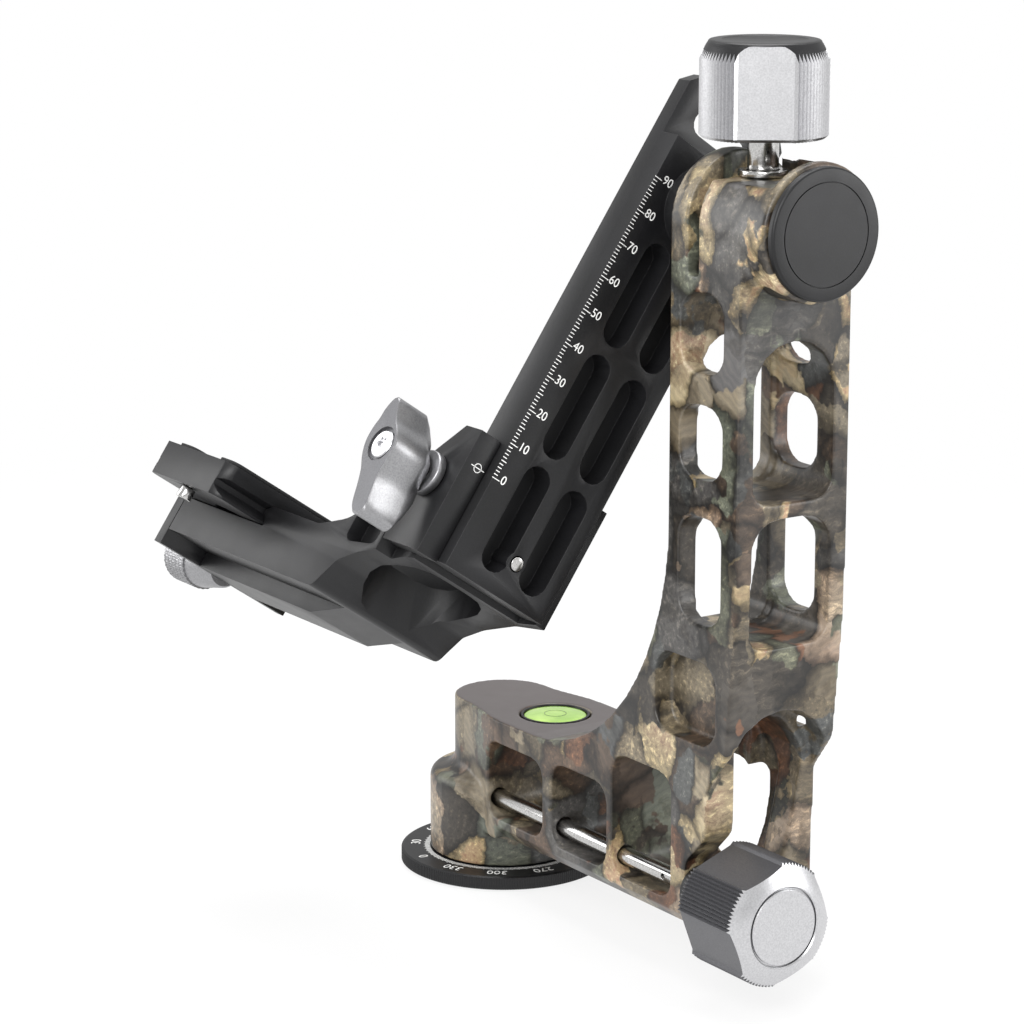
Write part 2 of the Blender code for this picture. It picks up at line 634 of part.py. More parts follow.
def make_bracket(carrier):
    surface = camouflage()
    body = prism("l_bracket", side_profile(), -HALF_WIDTH, HALF_WIDTH, "Y", carrier, surface)
    neck = prism("cutter_neck", neck_outline(), ARM_UNDERSIDE, DECK_HEIGHT, "Z", carrier)
    hub = turned("cutter_hub", hub_profile(), "Z", (0, 0), carrier)
    tilt_hub = (
        (0, UPRIGHT_INNER), (TILT_HUB_RADIUS, UPRIGHT_INNER), (TILT_HUB_RADIUS, TILT_HUB_OUTER - DISC_EDGE),
        (TILT_HUB_RADIUS - DISC_EDGE, TILT_HUB_OUTER), (0, TILT_HUB_OUTER),
    )
    head = turned("cutter_tilt_hub", tilt_hub, "X", (0, TILT_HEIGHT), carrier)
    fuse(body, neck, hub, head)
    for side in (-1, 1):
        wedge = (
            (side * HALF_WIDTH + side * OVERRUN, ARM_UNDERSIDE + ARM_CHAMFER + OVERRUN),
            (side * (HALF_WIDTH - ARM_CHAMFER) - side * OVERRUN, ARM_UNDERSIDE - OVERRUN),
            (side * HALF_WIDTH + side * OVERRUN, ARM_UNDERSIDE - OVERRUN),
        )
        cut(body, prism("cutter_chamfer_%d" % (side + 1), wedge, HUB_RADIUS, FOOT_END + OVERRUN, "X", carrier))
    cut(body, *arm_windows(carrier))
    cut(body, *upright_windows(carrier))
    ring_seat = SPINDLE_FLANGE_LOW
    flange_seat = SPINDLE_FLANGE_HIGH + WASHER_HEIGHT + GAP + GAP
    bore = (
        (0, 0), (PAN_RING_RADIUS + GAP, 0), (PAN_RING_RADIUS + GAP, ring_seat),
        (SPINDLE_FLANGE_RADIUS + GAP, ring_seat), (SPINDLE_FLANGE_RADIUS + GAP, flange_seat),
        (SPINDLE_RADIUS + GAP, flange_seat), (SPINDLE_RADIUS + GAP, HUB_BORE_CEILING), (0, HUB_BORE_CEILING),
    )
    cut(body, turned("cutter_hub_bore", bore, "Z", (0, 0), carrier))
    shoe_start = SHOE_START - OVERRUN
    cut(body, rod("cutter_rod_bore", ROD_RADIUS + GAP, shoe_start, PAN_KNOB_BACK, "X", (ROD_Y, ROD_Z), carrier))
    cut(body, rod("cutter_level_seat", LEVEL_RADIUS + LEVEL_RING + GAP, DECK_HEIGHT - LEVEL_DEPTH,
                  DECK_HEIGHT + OVERRUN, "Z", (LEVEL_X, 0), carrier, sides=ROUND_SIDES))
    slit = ((-TILT_HUB_RADIUS - OVERRUN, SLIT_BOTTOM), (TILT_HUB_RADIUS + OVERRUN, SLIT_BOTTOM),
            (TILT_HUB_RADIUS + OVERRUN, TILT_HEIGHT + TILT_HUB_RADIUS + OVERRUN),
            (-TILT_HUB_RADIUS - OVERRUN, TILT_HEIGHT + TILT_HUB_RADIUS + OVERRUN))
    cut(body, prism("cutter_slit", slit, SLIT_START, SLIT_END, "X", carrier))
    cut(body, rod("cutter_knob_seat", SEAT_RADIUS, SEAT_HEIGHT, TILT_KNOB_TOP, "Z", (TILT_KNOB_X, 0), carrier))
    side = -TILT_HUB_RADIUS - OVERRUN
    step_end = TILT_KNOB_X + SEAT_RADIUS - GAP
    step = ((SLIT_START + GAP, side), (step_end, side), (step_end, 0), (SLIT_START + GAP, 0))
    cut(body, prism("cutter_knob_step", step, SEAT_HEIGHT, TILT_KNOB_TOP - GAP, "Z", carrier))
    cut(body, rod("cutter_stud_bore", TILT_STUD_RADIUS + GAP, TILT_HEIGHT, TILT_KNOB_TOP, "Z",
                  (TILT_KNOB_X, 0), carrier))
    running = AXLE_RADIUS + GAP
    seat = BEARING_RADIUS + GAP
    outer_seat = TILT_HUB_OUTER - OUTER_BEARING_DEPTH
    axle_bore = (
        (0, UPRIGHT_INNER - OVERRUN), (seat, UPRIGHT_INNER - OVERRUN), (seat, UPRIGHT_INNER + BEARING_BORE_DEPTH),
        (running, UPRIGHT_INNER + BEARING_BORE_DEPTH), (running, outer_seat), (seat, outer_seat),
        (seat, TILT_HUB_OUTER + OVERRUN), (0, TILT_HUB_OUTER + OVERRUN),
    )
    cut(body, turned("cutter_axle_bore", axle_bore, "X", (0, TILT_HEIGHT), carrier))
    return body


def make_pan_bearing(carrier):
    low = DISC_HEIGHT + GAP + GAP
    sleeve("pan_retaining_ring", SPINDLE_NECK_RADIUS + GAP, PAN_RING_RADIUS, low, SPINDLE_FLANGE_LOW - GAP, "Z",
           (0, 0), carrier, black_anodised(), SMALL_SIDES)
    low = SPINDLE_FLANGE_HIGH + GAP
    sleeve("pan_thrust_washer", SPINDLE_RADIUS + GAP, SPINDLE_FLANGE_RADIUS, low, low + WASHER_HEIGHT, "Z",
           (0, 0), carrier, nylon(), SMALL_SIDES)


def make_level(carrier):
    floor = DECK_HEIGHT - LEVEL_DEPTH + GAP
    outer = LEVEL_RADIUS + LEVEL_RING
    inner = LEVEL_RADIUS
    cup_floor = floor + LEVEL_RING
    profile = (
        (0, floor), (outer, floor), (outer, DECK_HEIGHT), (inner, DECK_HEIGHT), (inner, cup_floor), (0, cup_floor),
    )
    turned("level_cup", profile, "Z", (LEVEL_X, 0), carrier, black_anodised())
    low = cup_floor + GAP
    lens = inner - GAP
    profile = ((0, low), (lens, low), (lens, DECK_HEIGHT - GAP), (lens - LEVEL_RING, DECK_HEIGHT), (0, DECK_HEIGHT))
    turned("level_vial", profile, "Z", (LEVEL_X, 0), carrier, green_acrylic())


def make_pan_lock(shoe_carrier, knob_carrier):
    centre = (0, 0)
    shoe_end = SHOE_START + SHOE_LENGTH
    shoe = rod("pan_brake_shoe", ROD_RADIUS, SHOE_START, shoe_end, "X", centre, shoe_carrier, brass())
    relief = rod("cutter_shoe_relief", SPINDLE_RADIUS + GAP, -ROD_ROOM, ROD_ROOM, "Z",
                 (0, -ROD_Y), shoe_carrier, sides=ROUND_SIDES)
    cut(shoe, relief)
    knob_bore_end = PAN_KNOB_FRONT - PAN_KNOB_CHAMFER
    bar = rod("pan_lock_rod", ROD_RADIUS, shoe_end + GAP, knob_bore_end - GAP, "X", centre, knob_carrier, steel())
    cut(bar, rod("cutter_rod_cross_hole", ROD_HOLE_RADIUS, -ROD_ROOM, ROD_ROOM, "Y",
                 (ROD_HOLE_X, 0), knob_carrier, sides=SMALL_SIDES // 2))
    chamfer = KNOB_RADIUS - PAN_KNOB_CHAMFER * CHAMFER_SHARE
    envelope = (
        (0, PAN_KNOB_BACK), (KNOB_RADIUS - TILT_KNOB_CHAMFER, PAN_KNOB_BACK),
        (KNOB_RADIUS + GAP, PAN_KNOB_BACK + TILT_KNOB_CHAMFER),
        (KNOB_RADIUS + GAP, PAN_KNOB_FRONT - PAN_KNOB_CHAMFER),
        (chamfer, PAN_KNOB_FRONT), (PAN_RECESS_RADIUS, PAN_KNOB_FRONT),
        (PAN_RECESS_RADIUS, PAN_KNOB_FRONT - PAN_RECESS_DEPTH), (0, PAN_KNOB_FRONT - PAN_RECESS_DEPTH),
    )
    knob = toothed_knob("pan_lock_knob", KNOB_RADIUS, PAN_KNOB_TURN, PAN_KNOB_BACK, PAN_KNOB_FRONT, "X", centre,
                        envelope, knob_carrier, grey_aluminium())
    cut(knob, rod("cutter_pan_knob_bore", ROD_RADIUS + GAP, PAN_KNOB_BACK - OVERRUN, knob_bore_end, "X", centre,
                  knob_carrier))
    insert_low = PAN_KNOB_FRONT - PAN_RECESS_DEPTH + GAP
    rod("pan_knob_insert", PAN_INSERT_RADIUS, insert_low, PAN_KNOB_FRONT - GAP, "X", centre, knob_carrier,
        grey_aluminium(), ROUND_SIDES)
    sleeve("pan_lock_collar", ROD_RADIUS + GAP, PAN_BOSS_RADIUS, FOOT_END + GAP, PAN_KNOB_BACK - PAN_TRAVEL / 2,
           "X", (ROD_Y, ROD_Z), shoe_carrier.parent, black_anodised(), SMALL_SIDES)


def make_axle(arm_carrier, carrier):
    """Make the tilt axle that turns with the swing arm, and its two bearings."""
    centre = (0, 0)
    back = ARM_FACE - ARM_THICKNESS + GAP
    profile = ((0, back), (AXLE_RADIUS, back), (AXLE_RADIUS, AXLE_END), (0, AXLE_END))
    turned("tilt_axle", profile, "X", centre, arm_carrier, steel())
    centre = (0, TILT_HEIGHT)
    low = UPRIGHT_INNER + GAP
    sleeve("tilt_bearing_inner", AXLE_RADIUS + GAP, BEARING_RADIUS, low, low + BEARING_WIDTH, "X", centre, carrier,
           steel(), SMALL_SIDES)
    low = TILT_HUB_OUTER - OUTER_BEARING_DEPTH + GAP
    sleeve("tilt_bearing_outer", AXLE_RADIUS + GAP, BEARING_RADIUS, low, low + BEARING_WIDTH, "X", centre, carrier,
           steel(), SMALL_SIDES)


def make_tilt_cap(carrier):
    low = TILT_HUB_OUTER + GAP
    high = low + TILT_CAP_RIM
    groove_in = TILT_CAP_GROOVE_RADIUS - GROOVE_WIDTH
    profile = (
        (0, AXLE_END + GAP), (BEARING_RADIUS, AXLE_END + GAP), (BEARING_RADIUS, low), (TILT_CAP_RADIUS, low),
        (TILT_CAP_RADIUS, high - GROOVE_WIDTH), (TILT_CAP_RADIUS - GROOVE_WIDTH, high),
        (TILT_CAP_GROOVE_RADIUS, high), (TILT_CAP_GROOVE_RADIUS, high - GROOVE_DEPTH),
        (groove_in, high - GROOVE_DEPTH), (groove_in, high), (0, high),
    )
    turned("tilt_cap", profile, "X", (0, TILT_HEIGHT), carrier, black_anodised())


def make_tilt_lock(shoe_carrier, knob_carrier):
    centre = (0, 0)
    rest = SEAT_HEIGHT - TILT_HEIGHT
    shoe_top = rest - STUD_TRAVEL_ROOM
    shoe = rod("tilt_brake_shoe", TILT_STUD_RADIUS, AXLE_RADIUS / 2, shoe_top, "Z", centre, shoe_carrier, brass())
    cut(shoe, rod("cutter_tilt_shoe_relief", AXLE_RADIUS + GAP, -SEAT_RADIUS, SEAT_RADIUS, "X", centre,
                  shoe_carrier, sides=ROUND_SIDES))
    knob_bottom = TILT_KNOB_BOTTOM - TILT_HEIGHT
    knob_top = TILT_KNOB_TOP - TILT_HEIGHT
    bore_top = knob_top - OVERRUN
    rod("tilt_lock_stud", TILT_STUD_RADIUS, shoe_top + GAP, bore_top - GAP, "Z", centre, knob_carrier, steel())
    low = rest + GAP
    sleeve("tilt_flange_washer", TILT_STUD_RADIUS + GAP, TILT_FLANGE_RADIUS, low, low + TILT_FLANGE_HEIGHT, "Z",
           centre, knob_carrier, steel(), SMALL_SIDES)
    edge = TILT_KNOB_RADIUS + GAP
    envelope = (
        (0, knob_bottom), (edge - TILT_KNOB_CHAMFER, knob_bottom), (edge, knob_bottom + TILT_KNOB_CHAMFER),
        (edge, knob_top - TILT_KNOB_CHAMFER), (edge - TILT_KNOB_CHAMFER, knob_top), (0, knob_top),
    )
    knob = toothed_knob("tilt_lock_knob", TILT_KNOB_RADIUS, TILT_KNOB_TURN, knob_bottom, knob_top, "Z", centre,
                        envelope, knob_carrier, satin_aluminium())
    cut(knob, rod("cutter_tilt_knob_bore", TILT_STUD_RADIUS + GAP, knob_bottom - OVERRUN, bore_top, "Z", centre,
                  knob_carrier))
    low = knob_top + GAP
    high = TILT_CAP_TOP - TILT_HEIGHT
    profile = (
        (0, low), (KNOB_CAP_RADIUS, low), (KNOB_CAP_RADIUS, high - TILT_KNOB_CHAMFER),
        (KNOB_CAP_RADIUS - TILT_KNOB_CHAMFER, high), (KNOB_CAP_DISH_RADIUS, high), (0, high - KNOB_CAP_DISH_DEPTH),
    )
    turned("tilt_knob_cap", profile, "Z", centre, knob_carrier, black_anodised())


def arm_section():
    """Cross-section of the swing arm's rail, widest behind its face."""
    back = ARM_FACE - ARM_THICKNESS
    slope = back + ARM_EDGE + GAP
    half = (
        (back, ARM_HALF - GAP), (back + GAP, ARM_HALF), (slope, ARM_HALF), (ARM_FACE, ARM_FACE_HALF),
    )
    return list(half) + [(across, -over) for across, over in reversed(half)]


def make_swing_arm(carrier):
    arm = prism("swing_arm", arm_section(), ARM_BOTTOM, ARM_TOP, "Z", carrier, black_anodised())
    back = ARM_FACE - ARM_THICKNESS
    boss_end = UPRIGHT_INNER - GAP
    boss_start = back + ARM_EDGE
    profile = ((0, boss_start), (ARM_BOSS_RADIUS, boss_start), (ARM_BOSS_RADIUS, boss_end), (0, boss_end))
    step = ((-ARM_HALF - OVERRUN, TIP_CUT_START), (ARM_HALF + OVERRUN, TIP_CUT_START),
            (ARM_HALF + OVERRUN, ARM_TOP + OVERRUN), (-ARM_HALF - OVERRUN, ARM_TOP + OVERRUN))
    cut(arm, prism("cutter_tip_face", step, ARM_FACE - TIP_FACE_CUT, ARM_FACE + OVERRUN, "X", carrier))
    floor = ARM_FACE - ARM_POCKET_DEPTH
    for row, (low, high) in enumerate(zip(ARM_POCKET_BOTTOM_SHARES, ARM_POCKET_TOP_SHARES)):
        for column, (left_share, right_share) in enumerate(zip(ARM_POCKET_START_SHARES, ARM_POCKET_END_SHARES)):
            left = ARM_HALF * left_share
            right = ARM_HALF * right_share
            outline = rounded_box(left, right, ARM_BOTTOM * low, ARM_BOTTOM * high, (right - left) / 2 - GAP)
            name = "cutter_arm_pocket_%d_%d" % (row, column)
            cut(arm, prism(name, outline, floor, ARM_FACE + OVERRUN, "X", carrier))
    screw_floor = ARM_FACE - STOP_SCREW_DEPTH
    centre = (STOP_SCREW_V, STOP_SCREW_U)
    fuse(arm, rod("cutter_stop_boss", STOP_SCREW_BOSS_RADIUS, floor - GAP, ARM_FACE - GAP, "X", centre, carrier))
    cut(arm, rod("cutter_stop_bore", STOP_SCREW_RADIUS + GAP, screw_floor, ARM_FACE + OVERRUN, "X", centre, carrier))
    fuse(arm, turned("cutter_arm_boss", profile, "X", (0, 0), carrier))
    window = rounded_box(-TIP_WINDOW_HALF, TIP_WINDOW_HALF, TIP_WINDOW_BOTTOM + ARM_EDGE, TIP_WINDOW_TOP, TIP_CORNER)
    cut(arm, prism("cutter_tip_window", window, back - OVERRUN, ARM_FACE, "X", carrier))
    for side in (-1, 1):
        outer = side * (ARM_HALF + GAP)
        corner = ((side * (ARM_HALF - ARM_TIP_CHAMFER), ARM_TOP + GAP), (outer, ARM_TOP - ARM_TIP_CHAMFER),
                  (outer + side * OVERRUN, ARM_TOP + OVERRUN))
        name = "cutter_tip_corner_%d" % (side + 1)
        cut(arm, prism(name, corner, back - OVERRUN, ARM_FACE + OVERRUN, "X", carrier))
    cut(arm, rod("cutter_arm_axle_bore", AXLE_RADIUS + GAP, back - OVERRUN, boss_end + OVERRUN, "X", (0, 0),
                 carrier, sides=ROUND_SIDES))
    rod("rail_stop_screw", STOP_SCREW_RADIUS, screw_floor + GAP, ARM_FACE + GAP, "X", centre, carrier, steel())


def lip_outline(side, clearance):
    """Section of a dovetail lip that grips the plate's side."""
    edge = PLATE_HALF_WIDTH + clearance
    tip = LIP_TIP + clearance
    points = ((edge, LIP_SHOULDER), (tip, LIP_LOW), (tip, LIP_HIGH), (edge + GAP, LIP_TOP))
    return [(side * across, over) for across, over in points]


def cradle_outline():
    """Side outline of the platform, the curved arm and the clamp that holds the rail."""
    reach = CLAMP_FACE - PLATFORM_ROOT
    height = CLAMP_TOP - PLATFORM_BOTTOM
    shares = UPPER_CURVE_SHARES + LOWER_CURVE_SHARES
    curves = [(PLATFORM_ROOT + reach * across, PLATFORM_BOTTOM + height * over) for across, over in shares]
    platform = [(PLATFORM_END, PLATFORM_BOTTOM), (PLATFORM_END, PLATFORM_TOP)]
    platform += [(PLATE_HALF_WIDTH + GAP, PLATFORM_TOP)]
    platform += lip_outline(1, GAP)
    radii = [0] * len(platform)
    radii += [CURVE_CORNER, CURVE_CORNER, CURVE_CORNER, HEEL_CORNER, 0]
    radii += [0, CURVE_CORNER, CURVE_CORNER, HEEL_CORNER, HEEL_CORNER, HEEL_CORNER]
    return rounded(platform + curves, radii, SMALL_STEPS)


def make_cradle(carrier):
    cradle = prism("cradle", cradle_outline(), -CRADLE_NEAR, CRADLE_FAR, "Y", carrier, black_anodised())
    root = PLATFORM_BOTTOM + GAP
    spine = ((PLATFORM_END, SPINE_BOTTOM), (SPINE_END, SPINE_BOTTOM), (SPINE_END + SPINE_RAMP, root),
             (PLATFORM_END, root))
    fuse(cradle, prism("cutter_spine", spine, -SPINE_HALF, SPINE_HALF, "Y", carrier))
    channel_back = ARM_FACE - ARM_THICKNESS - GAP
    channel = [(channel_back, ARM_HALF + GAP), (channel_back, -ARM_HALF - GAP)]
    half = ARM_FACE_HALF + GAP
    slope = ARM_FACE - ARM_THICKNESS + ARM_EDGE + GAP
    reach = ARM_FACE + OVERRUN
    channel += [(slope, -ARM_HALF - GAP), (ARM_FACE, -half), (reach, -half), (reach, half), (ARM_FACE, half),
                (slope, ARM_HALF + GAP)]
    cut(cradle, prism("cutter_rail_channel", channel, CLAMP_BOTTOM - OVERRUN, CLAMP_TOP + OVERRUN, "Z", carrier))
    inner = CRADLE_NEAR - JAW_THICKNESS
    bay = ((JAW_BACK, -CRADLE_NEAR - OVERRUN), (reach, -CRADLE_NEAR - OVERRUN), (reach, -ARM_EDGE),
           (channel_back, -ARM_EDGE), (channel_back, -inner), (JAW_BACK, -inner))
    cut(cradle, prism("cutter_jaw_bay", bay, CLAMP_BOTTOM - OVERRUN, CLAMP_TOP + OVERRUN, "Z", carrier))
    scoop_end = channel_back - SCOOP_WALL
    scoop = prism("cutter_scoop", rounded_box(SCOOP_START, scoop_end, SCOOP_LEFT, SCOOP_RIGHT, SCOOP_CORNER),
                  PLATFORM_BOTTOM - OVERRUN, SCOOP_CEILING_END + OVERRUN, "Z", carrier)
    ceiling = ((SCOOP_START - GAP, SPINE_BOTTOM - OVERRUN), (scoop_end + GAP, SPINE_BOTTOM - OVERRUN),
               (scoop_end + GAP, SCOOP_CEILING_END), (SCOOP_START - GAP, SCOOP_CEILING_START))
    keep_common(scoop, prism("cutter_scoop_ceiling", ceiling, -CRADLE_NEAR, CRADLE_NEAR, "Y", carrier))
    cut(cradle, scoop)
    pocket_end = JAW_BACK - SIDE_POCKET_WEB
    corners = ((SIDE_POCKET_START, SIDE_POCKET_BOTTOM), (pocket_end, SIDE_POCKET_BOTTOM + SIDE_POCKET_WEB),
               (pocket_end, SIDE_POCKET_TOP), (SIDE_POCKET_START, SIDE_POCKET_TOP - SIDE_POCKET_RISE))
    pocket = rounded(corners, (SIDE_POCKET_CORNER,) * len(corners))
    near_floor = SIDE_POCKET_DEPTH - CRADLE_NEAR
    far_floor = CRADLE_FAR - SIDE_POCKET_DEPTH + SIDE_POCKET_WEB
    cut(cradle, prism("cutter_side_pocket_near", pocket, -CRADLE_NEAR - OVERRUN, near_floor, "Y", carrier))
    cut(cradle, prism("cutter_side_pocket_far", pocket, far_floor, CRADLE_FAR + OVERRUN, "Y", carrier))
    cut(cradle, rod("cutter_wing_bore", WING_SCREW_RADIUS + GAP, -CRADLE_NEAR - OVERRUN, 0, "Y", (WING_X, WING_U),
                    carrier))
    cut(cradle, rod("cutter_platform_bore", PLATFORM_SCREW_RADIUS + GAP, PLATFORM_END - OVERRUN,
                    PLATFORM_SCREW_TIP + GAP, "X", (0, PLATFORM_SCREW_U), carrier))
    return cradle


def make_rail_clamp(jaw_carrier, knob_carrier):
    inner = -CRADLE_NEAR + JAW_THICKNESS - GAP
    back = JAW_BACK + GAP
    slope = ARM_FACE - ARM_THICKNESS + ARM_EDGE + GAP
    share = (CLAMP_FACE - slope) / (ARM_FACE - slope)
    hook = -(ARM_HALF + (ARM_FACE_HALF - ARM_HALF) * share + GAP)
    outline = ((back, -CRADLE_NEAR), (CLAMP_FACE, -CRADLE_NEAR), (CLAMP_FACE, hook), (slope, -ARM_HALF - GAP),
               (ARM_FACE - ARM_THICKNESS, -ARM_HALF - GAP), (ARM_FACE - ARM_THICKNESS, inner), (back, inner))
    jaw = prism("rail_clamp_jaw", outline, CLAMP_BOTTOM, CLAMP_TOP, "Z", jaw_carrier, black_anodised())
    trim = ((JAW_BACK - OVERRUN, CLAMP_TOP + OVERRUN), (CLAMP_FACE - OVERRUN, CLAMP_TOP + OVERRUN),
            (JAW_BACK - OVERRUN, CLAMP_TOP - WING_CORNER_CUT))
    cut(jaw, prism("cutter_jaw_corner", trim, -CRADLE_NEAR - OVERRUN, -ARM_FACE_HALF, "Y", jaw_carrier))
    cut(jaw, rod("cutter_jaw_bore", WING_SCREW_RADIUS + GAP, -CRADLE_NEAR - OVERRUN, 0, "Y", (WING_X, WING_U),
                 jaw_carrier))
    centre = (0, 0)
    collar_end = -CRADLE_NEAR - GAP
    collar_start = WING_BACK + GAP
    sleeve("wing_collar", WING_SCREW_RADIUS + GAP, WING_COLLAR_RADIUS, collar_start, collar_end, "Y", centre,
           knob_carrier, grey_aluminium(), SMALL_SIDES)
    outline = []
    for step in range(WING_STEPS):
        angle = 2 * math.pi * step / WING_STEPS
        lobe = abs(math.cos(angle)) ** WING_SHARPNESS
        reach = WING_HUB_RADIUS + (WING_LENGTH - WING_HUB_RADIUS) * lobe
        turn = angle + math.pi / 2 + WING_TURN
        outline.append((reach * math.cos(turn), reach * math.sin(turn)))
    wing = prism("wing_knob", outline, WING_FRONT, WING_BACK, "Y", knob_carrier, grey_aluminium())
    seat = WING_FRONT + WING_SEAT_DEPTH
    cut(wing, rod("cutter_wing_seat", WING_SEAT_RADIUS, WING_FRONT - OVERRUN, seat, "Y", centre, knob_carrier))
    cut(wing, rod("cutter_wing_knob_bore", WING_SCREW_RADIUS + GAP, WING_FRONT - OVERRUN, 0, "Y", centre,
                  knob_carrier))
    head = WING_SEAT_RADIUS - GAP
    profile = ((0, WING_FRONT), (head, WING_FRONT), (head, seat - GAP), (WING_SCREW_RADIUS, seat - GAP),
               (WING_SCREW_RADIUS, -WING_HUB_RADIUS), (0, -WING_HUB_RADIUS))
    turned("rail_clamp_screw", profile, "Y", centre, knob_carrier, steel(), SMALL_SIDES)


def make_platform_clamp(jaw_carrier, knob_carrier):
    jaw_floor = PLATFORM_TOP + GAP
    shoulder = PLATFORM_END - GAP
    outline = [(PLATFORM_JAW_END, PLATFORM_JAW_BOTTOM), (shoulder, PLATFORM_JAW_BOTTOM), (shoulder, jaw_floor),
               (-PLATE_HALF_WIDTH - GAP, jaw_floor)]
    outline += lip_outline(-1, GAP)
    outline += [(PLATFORM_JAW_END + ARM_EDGE, LIP_TOP), (PLATFORM_JAW_END, LIP_TOP - ARM_EDGE)]
    jaw = prism("platform_jaw", outline, -CRADLE_NEAR, CRADLE_FAR, "Y", jaw_carrier, black_anodised())
    cut(jaw, rod("cutter_platform_jaw_bore", PLATFORM_SCREW_RADIUS + GAP, PLATFORM_JAW_END - OVERRUN,
                 PLATFORM_END + OVERRUN, "X", (0, PLATFORM_SCREW_U), jaw_carrier))
    centre = (0, 0)
    near = PLATFORM_JAW_END - GAP
    middle = (PLATFORM_KNOB_END + PLATFORM_KNOB_START) / 2
    profile = (
        (0, PLATFORM_KNOB_END), (PLATFORM_KNOB_RADIUS - DISC_EDGE, PLATFORM_KNOB_END),
        (PLATFORM_KNOB_RADIUS, PLATFORM_KNOB_END + DISC_EDGE), (PLATFORM_KNOB_RADIUS, PLATFORM_KNOB_START),
        (PLATFORM_KNOB_NECK + DISC_EDGE, near - DISC_EDGE), (PLATFORM_KNOB_NECK, near), (0, near),
    )
    knob = turned("platform_knob", profile, "X", centre, knob_carrier, grey_aluminium())
    cut(knob, rod("cutter_platform_knob_bore", PLATFORM_SCREW_RADIUS + GAP, middle, 0, "X", centre, knob_carrier))
    rod("platform_clamp_screw", PLATFORM_SCREW_RADIUS, middle + GAP, PLATFORM_SCREW_TIP, "X", centre, knob_carrier,
        steel())


def make_plate(carrier):
    surface = black_anodised()
    groove = PLATE_HALF_WIDTH - PLATE_GROOVE
    side = (
        (PLATE_HALF_WIDTH, PLATE_TOP), (PLATE_HALF_WIDTH, LIP_TOP), (groove, LIP_HIGH + GAP),
        (groove, LIP_LOW - GAP), (PLATE_HALF_WIDTH, LIP_SHOULDER - GAP), (PLATE_HALF_WIDTH, PLATE_BOTTOM),
    )
    outline = list(side) + [(-across, over) for across, over in reversed(side)]
    plate = prism("quick_release_plate", outline, -PLATE_HALF_LENGTH, PLATE_HALF_LENGTH, "Y", carrier, surface)
    plan = rounded_box(-PLATE_HALF_WIDTH - GAP, PLATE_HALF_WIDTH + GAP, -PLATE_HALF_LENGTH - GAP,
                       PLATE_HALF_LENGTH + GAP, PLATE_CORNER)
    keep_common(plate, prism("cutter_plate_plan", plan, PLATE_BOTTOM - OVERRUN, PLATE_TOP + OVERRUN, "Z", carrier))
    slot = PLATE_HALF_LENGTH / 2
    slot_half = CAMERA_SCREW_RADIUS + GAP
    head_half = CAMERA_SCREW_HEAD + GAP
    head_top = PLATE_BOTTOM + CAMERA_HEAD_DEPTH
    slot_outline = rounded_box(-slot_half, slot_half, -slot, slot, slot_half - GAP)
    cut(plate, prism("cutter_plate_slot", slot_outline, PLATE_BOTTOM - OVERRUN, PLATE_TOP + OVERRUN, "Z", carrier))
    head_outline = rounded_box(-head_half, head_half, -slot - head_half, slot + head_half, head_half - GAP)
    cut(plate, prism("cutter_head_slot", head_outline, PLATE_BOTTOM - OVERRUN, head_top, "Z", carrier))
    profile = (
        (0, PLATE_BOTTOM + GAP), (CAMERA_SCREW_HEAD, PLATE_BOTTOM + GAP), (CAMERA_SCREW_HEAD, head_top - GAP),
        (CAMERA_SCREW_RADIUS, head_top - GAP), (CAMERA_SCREW_RADIUS, PLATE_TOP), (0, PLATE_TOP),
    )
    turned("camera_screw", profile, "Z", (0, 0), carrier, steel(), SMALL_SIDES)
    inner = CAMERA_SCREW_RADIUS + PAD_INSET
    pad_low = PLATE_TOP + GAP
    for name, edge in (("left", -inner - PAD_WIDTH), ("right", inner)):
        end = PLATE_HALF_LENGTH - PAD_INSET
        pad = rounded_box(edge, edge + PAD_WIDTH, -end, end, PAD_INSET)
        prism("plate_pad_" + name, pad, pad_low, pad_low + PAD_HEIGHT, "Z", carrier, rubber())
    screw_v = PLATE_HALF_LENGTH - PLATE_SCREW_DROP
    screw_top = PLATE_BOTTOM + PLATE_SCREW_DROP
    for name, place in (("front", -screw_v), ("back", screw_v)):
        cut(plate, rod("cutter_safety_bore_" + name, PLATE_SCREW_SHANK + GAP, PLATE_BOTTOM - OVERRUN, screw_top,
                       "Z", (0, place), carrier))
        head_low = PLATE_BOTTOM - PLATE_SCREW_DROP
        profile = (
            (0, head_low), (PLATE_SCREW_RADIUS, head_low), (PLATE_SCREW_RADIUS, PLATE_BOTTOM - GAP),
            (PLATE_SCREW_SHANK, PLATE_BOTTOM - GAP), (PLATE_SCREW_SHANK, screw_top - GAP), (0, screw_top - GAP),
        )
        turned("plate_safety_screw_" + name, profile, "Z", (0, place), carrier, steel(), SMALL_SIDES)


